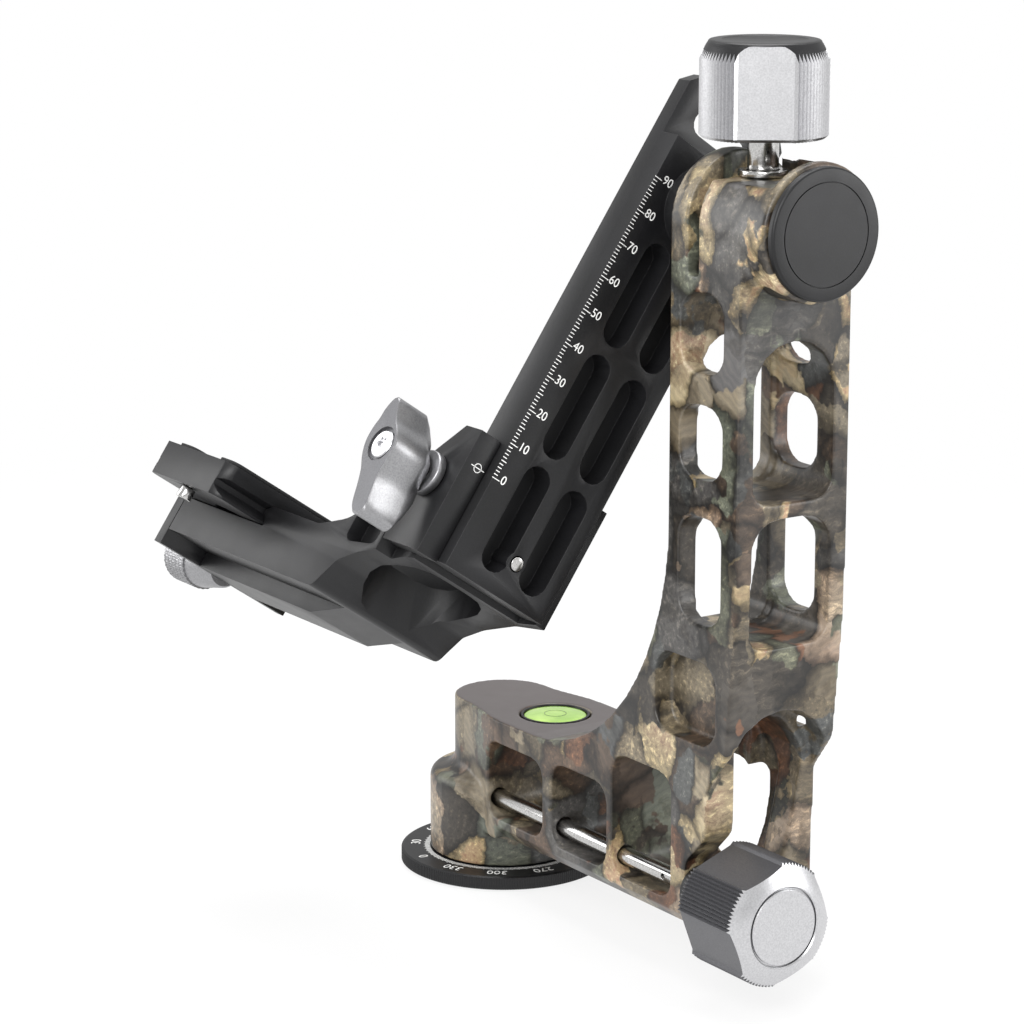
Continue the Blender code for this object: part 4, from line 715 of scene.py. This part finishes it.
# Trims that the photograph shows beyond the solid, in millimetres: the leg runs straight down, its arch
# widens upward, the leg is thinner behind, and the seat of the tilt lock is open as far as the cap
LEG_HALF_WIDTH = 17.95
ARCH_OUTLINE = [
    (7.2, 30.0), (9.2, 38.0), (11.2, 46.0), (12.6, 54.0), (13.6, 59.5), (13.0, 63.5), (10.4, 68.0),
    (6.0, 72.6), (-4.0, 73.4), (-8.6, 66.0), (-8.6, 37.0), (-6.0, 34.6), (0.0, 30.0)]
LEG_RELIEF = [
    (0.0, 31.0), (11.0, 31.0), (13.8, 38.0), (15.2, 46.0),
    (15.2, 52.0), (13.2, 58.0), (8.5, 63.0), (0.0, 66.0)]
BRACKET_TRIMS = (
    ("UNION", [(4.0, 12.5), (LEG_HALF_WIDTH, 12.5), (LEG_HALF_WIDTH, 46.0), (4.0, 46.0)], 113.5, 123.95),
    ("DIFFERENCE", ARCH_OUTLINE, 107.5, 137.0),
    ("DIFFERENCE", LEG_RELIEF, 106.8, 114.6),
    ("DIFFERENCE", [(-20.0, 217.4), (7.0, 217.4), (7.0, 226.0), (-20.0, 226.0)], 117.6, 141.8),
)

# The size of the even skin's cells, and the smoothing passes that round an edge by one millimetre
SKIN_VOXEL = 0.5 * MM
ROUNDING_PASSES = 14


class GIMBAL_OT_bracket(bpy.types.Operator):
    """Dress the L-bracket as one soft-edged machined body in printed camouflage"""

    bl_idname = "gimbal.bracket"
    bl_label = "L-bracket"

    def execute(self, context):
        piece = dress("l_bracket", 0)
        for operation, outline, start, end in BRACKET_TRIMS:
            shape_tool(piece, operation, outline, start, end)
        remesh = piece.modifiers.new("even_skin", "REMESH")
        remesh.mode = "VOXEL"
        remesh.voxel_size = SKIN_VOXEL
        remesh.use_smooth_shade = True
        smooth = piece.modifiers.new("rounded_edges", "SMOOTH")
        smooth.factor = 0.5
        smooth.iterations = round((context.scene.gimbal_head.edge_radius / MM) ** 2 * ROUNDING_PASSES)
        thin = piece.modifiers.new("fewer_faces", "DECIMATE")
        thin.ratio = 0.35
        apply_modifiers(piece)
        piece.data.shade_smooth()
        for node in ("pan_retaining_ring", "pan_thrust_washer", "pan_lock_collar"):
            dress(node, 0.2)
        return {"FINISHED"}


# The level's domed lens and the circle in it
LENS_RISE = 0.5 * MM
LENS_STEPS = 8
CIRCLE_RADIUS = 3.1 * MM
CIRCLE_WIDTH = 0.12 * MM


class GIMBAL_OT_level(bpy.types.Operator):
    """Dress the bubble level: dark seat, green cup with a domed lens and its circle"""

    bl_idname = "gimbal.level"
    bl_label = "Bubble level"

    def execute(self, context):
        dress("level_cup", 0.12)
        low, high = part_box("level_vial")
        foot = centre_of("level_vial")
        radius = high.x - foot.x
        foot.z = low.z
        rise = high.z - low.z
        shoulder = rise - LENS_RISE
        profile = [(0, 0), (radius, 0), (radius, shoulder)]
        for step in range(1, LENS_STEPS):
            angle = math.pi / 2 * step / LENS_STEPS
            profile.append((radius * math.cos(angle), shoulder + LENS_RISE * math.sin(angle)))
        profile.append((0, rise))
        place = standing(foot, UP)
        stand_in("level_vial", turned(profile), place)
        outer = CIRCLE_RADIUS + CIRCLE_WIDTH
        middle = rise - 0.05 * MM
        bottom = middle - CIRCLE_WIDTH
        top = middle + CIRCLE_WIDTH / 2
        circle = ((CIRCLE_RADIUS, bottom), (outer, bottom), (outer, top), (CIRCLE_RADIUS, top))
        loft("level_circle", turned(circle), place, "bracket", "green_acrylic", maker=black_anodised)
        return {"FINISHED"}


# Each large knob's grip: widest radius, depth of teeth, lobes, teeth on a lobe, and in degrees how wide a
# lobe is and where the first one stands
PAN_GRIP = (16.9 * MM, 0.85 * MM, 4, 12, 44.0, -24.5)
TILT_GRIP = (16.7 * MM, 1.0 * MM, 3, 16, 66.0, 24.3)

# The pan knob: how much shorter it is than its solid, the hole in its back, its chamfer and its recess
PAN_KNOB_TRIM = 1.6 * MM
PAN_KNOB_HOLE = 2.9 * MM
PAN_CHAMFER_FALL = 2.9 * MM
PAN_CHAMFER_CURVE = 1.35
PAN_RECESS = 10.8 * MM
PAN_RECESS_DEPTH = 1.1 * MM
PAN_LIP = 0.35 * MM
PAN_INSERT = 10.3 * MM


def paint_faces(piece, maker, wanted):
    """Give the chosen faces of a piece a second finish."""
    piece.data.materials.append(surface(maker))
    index = len(piece.data.materials) - 1
    for face in piece.data.polygons:
        if wanted(face):
            face.material_index = index


class GIMBAL_OT_pan_lock(bpy.types.Operator):
    """Dress the pan lock: shoe, rod, knob with bright front chamfer, and its inset disc"""

    bl_idname = "gimbal.pan_lock"
    bl_label = "Pan lock"

    def execute(self, context):
        dress("pan_brake_shoe", 0.1)
        dress("pan_lock_rod", 0.15)
        low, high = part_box("pan_lock_knob")
        pivot = pivot_of("pan_knob_turn")
        place = Matrix.Translation((low.x, pivot.y, pivot.z)) @ axes(BACK, UP, OUT)
        length = high.x - low.x - PAN_KNOB_TRIM
        seat = length - PAN_RECESS_DEPTH
        section = knob_section(*PAN_GRIP)
        rings = [round_ring(section, PAN_KNOB_HOLE, 0), level_ring(section, 1.2 * MM, 0)]
        rings.append(level_ring(section, 0, 1.0 * MM))
        rings += crowned(section, PAN_RECESS + PAN_LIP, length, PAN_CHAMFER_FALL, PAN_CHAMFER_CURVE)
        rings += [round_ring(section, PAN_RECESS, length - PAN_LIP), round_ring(section, PAN_RECESS, seat)]
        rings.append(round_ring(section, PAN_KNOB_HOLE, seat))
        knob = stand_in("pan_lock_knob", rings, place, sharp_degrees=24)
        paint_faces(knob, satin_aluminium, lambda face: face.normal.x > 0.15)
        foot = Vector((low.x + seat, pivot.y, pivot.z))
        edge = PAN_INSERT - 0.25 * MM
        profile = ((0, 0), (PAN_INSERT, 0), (PAN_INSERT, 0.8 * MM), (edge, 1.0 * MM), (0, 1.05 * MM))
        stand_in("pan_knob_insert", turned(profile), standing(foot, OUT), satin_aluminium)
        return {"FINISHED"}


# The tilt knob's hole, and its black cap: how deep it sits, its skin over the knob, its crown with the round
# inside it, how the shoulder falls away from the crown, and the dish
TILT_KNOB_HOLE = 4.5 * MM
CAP_DEPTH = 7.0 * MM
CAP_SKIN = 0.1 * MM
CAP_CROWN = 14.6 * MM
CAP_ROUND = 0.9 * MM
CAP_FALL = 4.2 * MM
CAP_CURVE = 1.25
CAP_DROP = 0.7 * MM
CAP_DISH = 10.8 * MM


class GIMBAL_OT_tilt_lock(bpy.types.Operator):
    """Dress the tilt lock: shoe, stud, flange, serrated knob and its dished cap"""

    bl_idname = "gimbal.tilt_lock"
    bl_label = "Tilt lock"

    def execute(self, context):
        for node in ("tilt_brake_shoe", "tilt_lock_stud", "tilt_flange_washer"):
            dress(node, 0.15)
        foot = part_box("tilt_lock_knob")[0].z
        pivot = pivot_of("tilt_knob_turn")
        place = Matrix.Translation((pivot.x, pivot.y, foot))
        height = top_of("tilt_knob_cap") - foot
        seat = height - CAP_DEPTH
        crown = (CAP_CROWN, height - CAP_DROP, CAP_FALL, CAP_CURVE)
        section = knob_section(*TILT_GRIP)
        rings = [round_ring(section, TILT_KNOB_HOLE, 0), level_ring(section, 0.9 * MM, 0)]
        rings += [level_ring(section, 0, 0.8 * MM), crowned(section, *crown)[0]]
        rings.append(round_ring(section, TILT_KNOB_HOLE, seat))
        stand_in("tilt_lock_knob", rings, place, sharp_degrees=24)
        underside = seat + 0.5 * MM
        rings = [[(0, 0, underside)], level_ring(section, CAP_SKIN * 8, underside)]
        rings += crowned([(angle, reach - CAP_SKIN) for angle, reach in section], *crown)
        for share in (0.3, 0.65, 1.0):
            angle = math.pi / 2 * share
            radius = CAP_CROWN - CAP_ROUND * (1 - math.cos(angle))
            rings.append(round_ring(section, radius, height - CAP_DROP * (1 - math.sin(angle))))
        for radius, drop in ((CAP_DISH + 0.4 * MM, 0), (CAP_DISH, 0.25 * MM), (CAP_DISH / 2, 0.7 * MM)):
            rings.append(round_ring(section, radius, height - drop))
        rings.append([(0, 0, height - 0.85 * MM)])
        stand_in("tilt_knob_cap", rings, place, sharp_degrees=30)
        return {"FINISHED"}


# The cap of the tilt hub: its hidden foot, its rim, the round of its edge and the groove in its face
HUB_FOOT = 12.0 * MM
HUB_RIM = 2.2 * MM
HUB_ROUND = 0.8 * MM
HUB_ROUND_STEPS = 4
GROOVE_RADIUS = 13.4 * MM
GROOVE_DEPTH = 0.35 * MM


class GIMBAL_OT_tilt_hub(bpy.types.Operator):
    """Dress the tilt axle, its bearings and the round cap"""

    bl_idname = "gimbal.tilt_hub"
    bl_label = "Tilt hub"

    def execute(self, context):
        for node in ("tilt_axle", "tilt_bearing_inner", "tilt_bearing_outer"):
            dress(node, 0.2)
        low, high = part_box("tilt_cap")
        face = high.x - low.x
        radius = (high.z - low.z) / 2
        rim = face - HUB_RIM
        edge = 0.3 * MM
        profile = [(0, 0), (HUB_FOOT, 0), (HUB_FOOT, rim), (radius - edge, rim), (radius, rim + edge)]
        for step in range(HUB_ROUND_STEPS + 1):
            angle = math.pi / 2 * step / HUB_ROUND_STEPS
            inward = HUB_ROUND * (1 - math.cos(angle))
            profile.append((radius - inward, face - HUB_ROUND * (1 - math.sin(angle))))
        for away, depth in ((0.16, 0), (0.1, GROOVE_DEPTH), (-0.1, GROOVE_DEPTH), (-0.16, 0)):
            profile.append((GROOVE_RADIUS + away * MM, face - depth))
        profile.append((0, face))
        foot = Vector((low.x, TILT_PIVOT.y, TILT_PIVOT.z))
        stand_in("tilt_cap", turned(profile, sides=144), standing(foot, OUT))
        return {"FINISHED"}


# The rail's scale: its last tick, its left edge, the length of its ticks in millimetres by their last digit,
# and where numbers of one digit and of two stand across the rail and how far up from their tick
RAIL_END = 90
RAIL_SCALE_EDGE = -18.2 * MM
RAIL_TICKS = {0: 2.6, 5: 1.8}
RAIL_TICK = 1.3
ONE_DIGIT = -14.5 * MM
TWO_DIGITS = -13.7 * MM
NUMBER_LIFT = 0.6


class GIMBAL_OT_swing_arm(bpy.types.Operator):
    """Dress the swing arm: soft edges, stop screw and its millimetre scale"""

    bl_idname = "gimbal.swing_arm"
    bl_label = "Swing arm"

    def execute(self, context):
        dress("swing_arm", 0.45)
        dress("rail_stop_screw", 0.15)
        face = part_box("rail_stop_screw")[1].x - 0.3 * MM
        half_width = context.scene.gimbal_head.tick_width / 2
        marks = []
        for reading in range(RAIL_END + 1):
            length = RAIL_TICKS.get(reading % 10, RAIL_TICK) * MM
            middle = TILT_FRAME @ Vector((face, RAIL_SCALE_EDGE + length / 2, (reading - RAIL_END) * MM))
            marks.append((middle, ACROSS * length / 2, ALONG * half_width, OUT))
        print_marks("rail_scale_ticks", marks, "swing")
        meshes = []
        for number in range(0, RAIL_END + 10, 10):
            across = TWO_DIGITS if number else ONE_DIGIT
            place = TILT_FRAME @ Vector((face, across, (number - RAIL_END + NUMBER_LIFT) * MM))
            meshes.append(print_number("rail_number_%d" % number, number, 2.5, place, ACROSS, ALONG))
        joined_print("rail_scale_numbers", meshes, "swing")
        return {"FINISHED"}


class GIMBAL_OT_cradle(bpy.types.Operator):
    """Dress the sliding cradle"""

    bl_idname = "gimbal.cradle"
    bl_label = "Cradle"

    def execute(self, context):
        dress("cradle", 0.5)
        return {"FINISHED"}


# The wing's outline, across the head and up the rail from its screw, the share of it at each station with
# the station's place outward from the tilt plane, and the recess in its face
WING_OUTLINE = [(over * MM, up * MM) for over, up in (
    (-4.6, 12.9), (-6.2, 9.6), (-6.5, 6.6), (-7.3, 3.2), (-7.2, -0.8), (-5.4, -4.8), (-2.7, -8.4),
    (-0.6, -12.8), (1.2, -17.2), (3.2, -19.4), (6.1, -19.2), (7.5, -17.0), (6.6, -12.4), (5.6, -8.0),
    (5.9, -3.2), (5.9, 1.0), (3.9, 4.4), (0.9, 7.2), (-1.0, 10.2), (-2.6, 12.7))]
WING_BACK = 29.3 * MM
WING_FRONT = 44.0 * MM
WING_STATIONS = ((0.55, WING_BACK), (0.62, WING_BACK + 0.5 * MM), (0.84, WING_BACK + 2.4 * MM),
                 (1.0, WING_BACK + 4.4 * MM), (1.0, WING_FRONT - 0.5 * MM), (0.965, WING_FRONT))
WING_RECESS = 4.9 * MM
WING_SEAT = WING_FRONT - 1.0 * MM
CURVE_STEPS = 4


def smooth_loop(points):
    """A closed curve through the given points."""
    curve = []
    for index in range(len(points)):
        near = [Vector(points[(index + away) % len(points)]) for away in (-1, 0, 1, 2)]
        before, here, after, beyond = near
        for step in range(CURVE_STEPS):
            share = step / CURVE_STEPS
            bend = (after - before) * share + (before * 2 - here * 5 + after * 4 - beyond) * share ** 2
            bend += (here * 3 - before - after * 3 + beyond) * share ** 3
            curve.append(tuple(here + bend / 2))
    return curve


# The index on the clamp's jaw with its ring, and the one on the cradle's side, each at a place across and up
# the rail from the tilt axis in millimetres
JAW_INDEX = (-21.4, -89.8)
JAW_INDEX_HALF = 2.3 * MM
RING_RADIUS = 1.15 * MM
RING_MARKS = 24
CRADLE_INDEX = (22.1, -88.8)
CRADLE_INDEX_HALF = 2.0 * MM

# The head of the screw in the wing: its rim, its face, and the middle and the swing of its socket's lobes
SCREW_RIM = 3.9 * MM
SCREW_FACE = 3.6 * MM
SOCKET_REACH = 1.7 * MM
SOCKET_LOBE = 0.35 * MM


class GIMBAL_OT_rail_clamp(bpy.types.Operator):
    """Dress the rail clamp: jaw with its index mark, collar, screw and wing knob"""

    bl_idname = "gimbal.rail_clamp"
    bl_label = "Rail clamp"

    def execute(self, context):
        dress("rail_clamp_jaw", 0.4)
        self.index_marks(context.scene.gimbal_head.tick_width / 2)
        dress("wing_collar", 0.4, maker=dull_aluminium)
        place = Matrix.Translation(pivot_of("wing_turn")) @ axes(OUT, ALONG, -ACROSS)
        outline = smooth_loop(WING_OUTLINE)
        rings = [[(0, 0, WING_BACK)]]
        for share, height in WING_STATIONS:
            rings.append([(over * share, up * share, height) for over, up in outline])
        angles = [math.atan2(up, over) for over, up in outline]
        for height in (WING_FRONT, WING_SEAT):
            rings.append(ring_of(angles, WING_RECESS, height))
        rings.append([(0, 0, WING_SEAT)])
        wing = stand_in("wing_knob", rings, place, dull_aluminium, sharp_degrees=32)
        paint_faces(wing, grey_anodised, lambda face: face.normal.dot(-ACROSS) > 0.9)
        self.screw_head(place, WING_SEAT + 0.1 * MM)
        return {"FINISHED"}

    def index_marks(self, half_width):
        """The ringed index on the clamp's jaw and the plain one on the cradle's side."""
        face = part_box("rail_clamp_jaw")[1].x
        over, up = JAW_INDEX
        middle = TILT_FRAME @ Vector((face, over * MM, up * MM))
        marks = [(middle, ACROSS * JAW_INDEX_HALF, ALONG * half_width, OUT)]
        for turn in turns(RING_MARKS):
            outward = ACROSS * math.cos(turn) + ALONG * math.sin(turn)
            half_long = OUT.cross(outward) * 0.17 * MM
            marks.append((middle + outward * RING_RADIUS, half_long, outward * half_width, OUT))
        print_marks("rail_clamp_index", marks, "rail_jaw")
        over, up = CRADLE_INDEX
        side = TILT_FRAME @ Vector((face - 2.6 * MM, over * MM, up * MM))
        mark = (side, OUT * CRADLE_INDEX_HALF, ALONG * half_width, ACROSS)
        print_marks("cradle_index", [mark], "cradle_body")

    def screw_head(self, place, height):
        """The six-lobed socket screw that holds the wing, standing in its recess."""
        angles = turns(48)
        top = height + 0.8 * MM
        bottom = height + 0.1 * MM
        rings = [[(0, 0, height)]]
        for radius, level in ((SCREW_RIM, height), (SCREW_RIM, height + 0.5 * MM), (SCREW_FACE, top)):
            rings.append(ring_of(angles, radius, level))
        socket = [SOCKET_REACH + SOCKET_LOBE * math.cos(6 * turn) for turn in angles]
        for level in (top, bottom):
            rings.append([polar(reach, turn, level) for reach, turn in zip(socket, angles)])
        rings.append([(0, 0, bottom)])
        stand_in("rail_clamp_screw", rings, place, satin_aluminium)


# The platform knob's radius and its knurl: where it starts, outward from the middle of the head, how many
# diamonds go round, how long one is, the points drawn round each and the rings along the knob
KNOB_RADIUS = 8.2 * MM
KNURL_START = 39.6 * MM
KNURL_COUNT = 32
KNURL_LENGTH = 1.55 * MM
KNURL_POINTS = 6
KNURL_RINGS = 21


class GIMBAL_OT_platform_clamp(bpy.types.Operator):
    """Dress the platform clamp: jaw, screw and diamond-knurled knob"""

    bl_idname = "gimbal.platform_clamp"
    bl_label = "Platform clamp"

    def execute(self, context):
        dress("platform_jaw", 0.35)
        dress("platform_clamp_screw", 0.1)
        place = Matrix.Translation(pivot_of("end_knob_turn")) @ axes(UP, BACK, -OUT)
        low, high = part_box("platform_knob")
        near = -high.x
        far = -low.x
        end = far - 0.6 * MM
        depth = context.scene.gimbal_head.knurl_depth
        angles = turns(KNURL_COUNT * KNURL_POINTS)
        rings = [[(0, 0, near)]]
        for radius, height in ((5.0, near), (5.6, near + 0.8 * MM), (7.7, KNURL_START)):
            rings.append(ring_of(angles, radius * MM, height))
        for step in range(KNURL_RINGS):
            height = KNURL_START + (end - KNURL_START) * step / (KNURL_RINGS - 1)
            reaches = [KNOB_RADIUS - depth * self.valley(turn, height) for turn in angles]
            rings.append([polar(reach, turn, height) for reach, turn in zip(reaches, angles)])
        rings += [ring_of(angles, 7.4 * MM, far), ring_of(angles, 6.4 * MM, far), [(0, 0, far - 0.25 * MM)]]
        stand_in("platform_knob", rings, place, dull_aluminium, sharp_degrees=35)
        return {"FINISHED"}

    def valley(self, turn, height):
        """How deep the two crossed sets of grooves are here: 1 along the middle of a groove."""
        depths = []
        for slant in (1, -1):
            phase = KNURL_COUNT * turn / (2 * math.pi) + slant * height / KNURL_LENGTH
            depths.append(abs(phase % 1 - 0.5) * 2)
        return max(depths) ** 3


class GIMBAL_OT_plate(bpy.types.Operator):
    """Dress the quick-release plate, its pads and screws"""

    bl_idname = "gimbal.plate"
    bl_label = "Quick-release plate"

    def execute(self, context):
        dress("quick_release_plate", 0.4)
        for node in ("plate_pad_left", "plate_pad_right"):
            dress(node, 0.2)
        for node in ("camera_screw", "plate_safety_screw_front", "plate_safety_screw_back"):
            dress(node, 0.12)
        return {"FINISHED"}


# The camera that took the photograph, in metres
CAMERA_PLACE = Vector((0.82671, -0.54668, 0.33395))
CAMERA_AIM = Vector((0.00416, 0.0, 0.10662))
IMAGE_WIDTH = 1024
FOCAL_PIXELS = 3480.34
SENSOR_MM = 36.0

# Each softbox with its place and size in metres and its power in watts, the point that all of them face, and
# how brightly the white world lights the head
SOFTBOXES = (
    ("key_softbox", (0.55, -0.55, 0.55), 0.45, 5.0),
    ("left_softbox", (-0.55, -0.55, 0.35), 0.5, 2.4),
    ("right_softbox", (0.65, 0.50, 0.30), 0.4, 2.5),
    ("top_softbox", (0.0, 0.05, 0.80), 0.5, 4.5),
)
LIGHT_TARGET = Vector((0.05, 0, 0.12))
WORLD_STRENGTH = 0.7


class GIMBAL_OT_stage(bpy.types.Operator):
    """Set up the pale floor, the soft lights, the white world and the camera"""

    bl_idname = "gimbal.stage"
    bl_label = "Studio"

    def execute(self, context):
        scene = context.scene
        scene.view_settings.view_transform = "Standard"
        camera = bpy.data.objects.new("camera", bpy.data.cameras.new("camera"))
        camera.data.sensor_width = SENSOR_MM
        camera.data.lens = FOCAL_PIXELS / IMAGE_WIDTH * SENSOR_MM
        camera.location = CAMERA_PLACE
        camera.rotation_mode = "QUATERNION"
        camera.rotation_quaternion = (CAMERA_AIM - CAMERA_PLACE).to_track_quat("-Z", "Y")
        scene.collection.objects.link(camera)
        scene.camera = camera
        self.floor(context)
        self.world(context)
        for name, place, size, power in SOFTBOXES:
            self.light(name, place, size, power)
        return {"FINISHED"}

    def floor(self, context):
        half = 3.0
        corners = [(-half, -half, 0), (half, -half, 0), (half, half, 0), (-half, half, 0)]
        mesh = bpy.data.meshes.new("studio_floor")
        mesh.from_pydata(corners, [], [(0, 1, 2, 3)])
        floor = bpy.data.objects.new("studio_floor", mesh)
        floor.location.z = -0.2 * MM
        context.scene.collection.objects.link(floor)
        made, tree, shader = blank("studio_floor_paper", 0.0, 0.9)
        shader.inputs["Base Color"].default_value = (*context.scene.gimbal_head.floor_colour, 1)
        show_white(tree, shader.outputs[0], tree.nodes["Material Output"])
        mesh.materials.append(made)

    def world(self, context):
        world = bpy.data.worlds.new("studio_world")
        world.use_nodes = True
        tree = world.node_tree
        background = tree.nodes["Background"]
        background.inputs["Color"].default_value = linear("#ffffff")
        background.inputs["Strength"].default_value = WORLD_STRENGTH
        path = add(tree, "ShaderNodeLightPath").outputs
        seen = maths(tree, "MAXIMUM", path["Is Camera Ray"], path["Is Transmission Ray"])
        white = add(tree, "ShaderNodeBackground", {"Color": linear("#ffffff"), "Strength": 1.0})
        mix = add(tree, "ShaderNodeMixShader", {0: seen, 1: background.outputs[0], 2: white.outputs[0]})
        tree.links.new(mix.outputs[0], tree.nodes["World Output"].inputs["Surface"])
        context.scene.world = world

    def light(self, name, place, size, power):
        data = bpy.data.lights.new(name, "AREA")
        data.energy = power
        data.size = size
        lamp = bpy.data.objects.new(name, data)
        lamp.location = place
        lamp.rotation_mode = "QUATERNION"
        lamp.rotation_quaternion = (LIGHT_TARGET - lamp.location).to_track_quat("-Z", "Y")
        bpy.context.scene.collection.objects.link(lamp)


def show_white(tree, shaded, output):
    """Let the floor show white to the camera where it is only lit paper, but keep the shadow."""
    path = add(tree, "ShaderNodeLightPath").outputs
    seen = maths(tree, "MAXIMUM", path["Is Camera Ray"], path["Is Glossy Ray"])
    white = add(tree, "ShaderNodeEmission", {"Color": linear("#ffffff"), "Strength": 1.0})
    away = add(tree, "ShaderNodeVectorMath", {0: object_space(tree)}, operation="LENGTH").outputs["Value"]
    fade = add(tree, "ShaderNodeMapRange", {"Value": away, 1: 0.2, 2: 0.6, 3: 0.8, 4: 1.0}).outputs[0]
    factor = maths(tree, "MULTIPLY", seen, fade)
    mix = add(tree, "ShaderNodeMixShader", {0: factor, 1: shaded, 2: white.outputs[0]})
    tree.links.new(mix.outputs[0], output.inputs["Surface"])


class GIMBAL_PT_panel(bpy.types.Panel):
    """Lists the pieces of the head"""

    bl_idname = "GIMBAL_PT_panel"
    bl_label = "Gimbal head"
    bl_space_type = "VIEW_3D"
    bl_region_type = "UI"
    bl_category = "Gimbal head"

    def draw(self, context):
        settings = context.scene.gimbal_head
        for name in ("tick_width", "edge_radius", "knurl_depth", "floor_colour"):
            self.layout.prop(settings, name)
        for operator in OPERATORS:
            self.layout.operator(operator.bl_idname)


OPERATORS = (
    GIMBAL_OT_base, GIMBAL_OT_bracket, GIMBAL_OT_level, GIMBAL_OT_pan_lock, GIMBAL_OT_tilt_lock,
    GIMBAL_OT_tilt_hub, GIMBAL_OT_swing_arm, GIMBAL_OT_cradle, GIMBAL_OT_rail_clamp,
    GIMBAL_OT_platform_clamp, GIMBAL_OT_plate, GIMBAL_OT_stage,
)
CLASSES = (HeadSettings, *OPERATORS, GIMBAL_PT_panel)


def register():
    for item in CLASSES:
        bpy.utils.register_class(item)
    bpy.types.Scene.gimbal_head = bpy.props.PointerProperty(type=HeadSettings)


def unregister():
    del bpy.types.Scene.gimbal_head
    for item in reversed(CLASSES):
        bpy.utils.unregister_class(item)


def main():
    register()
    for operator in OPERATORS:
        group, name = operator.bl_idname.split(".")
        getattr(getattr(bpy.ops, group), name)()


if __name__ == "__main__":
    main()
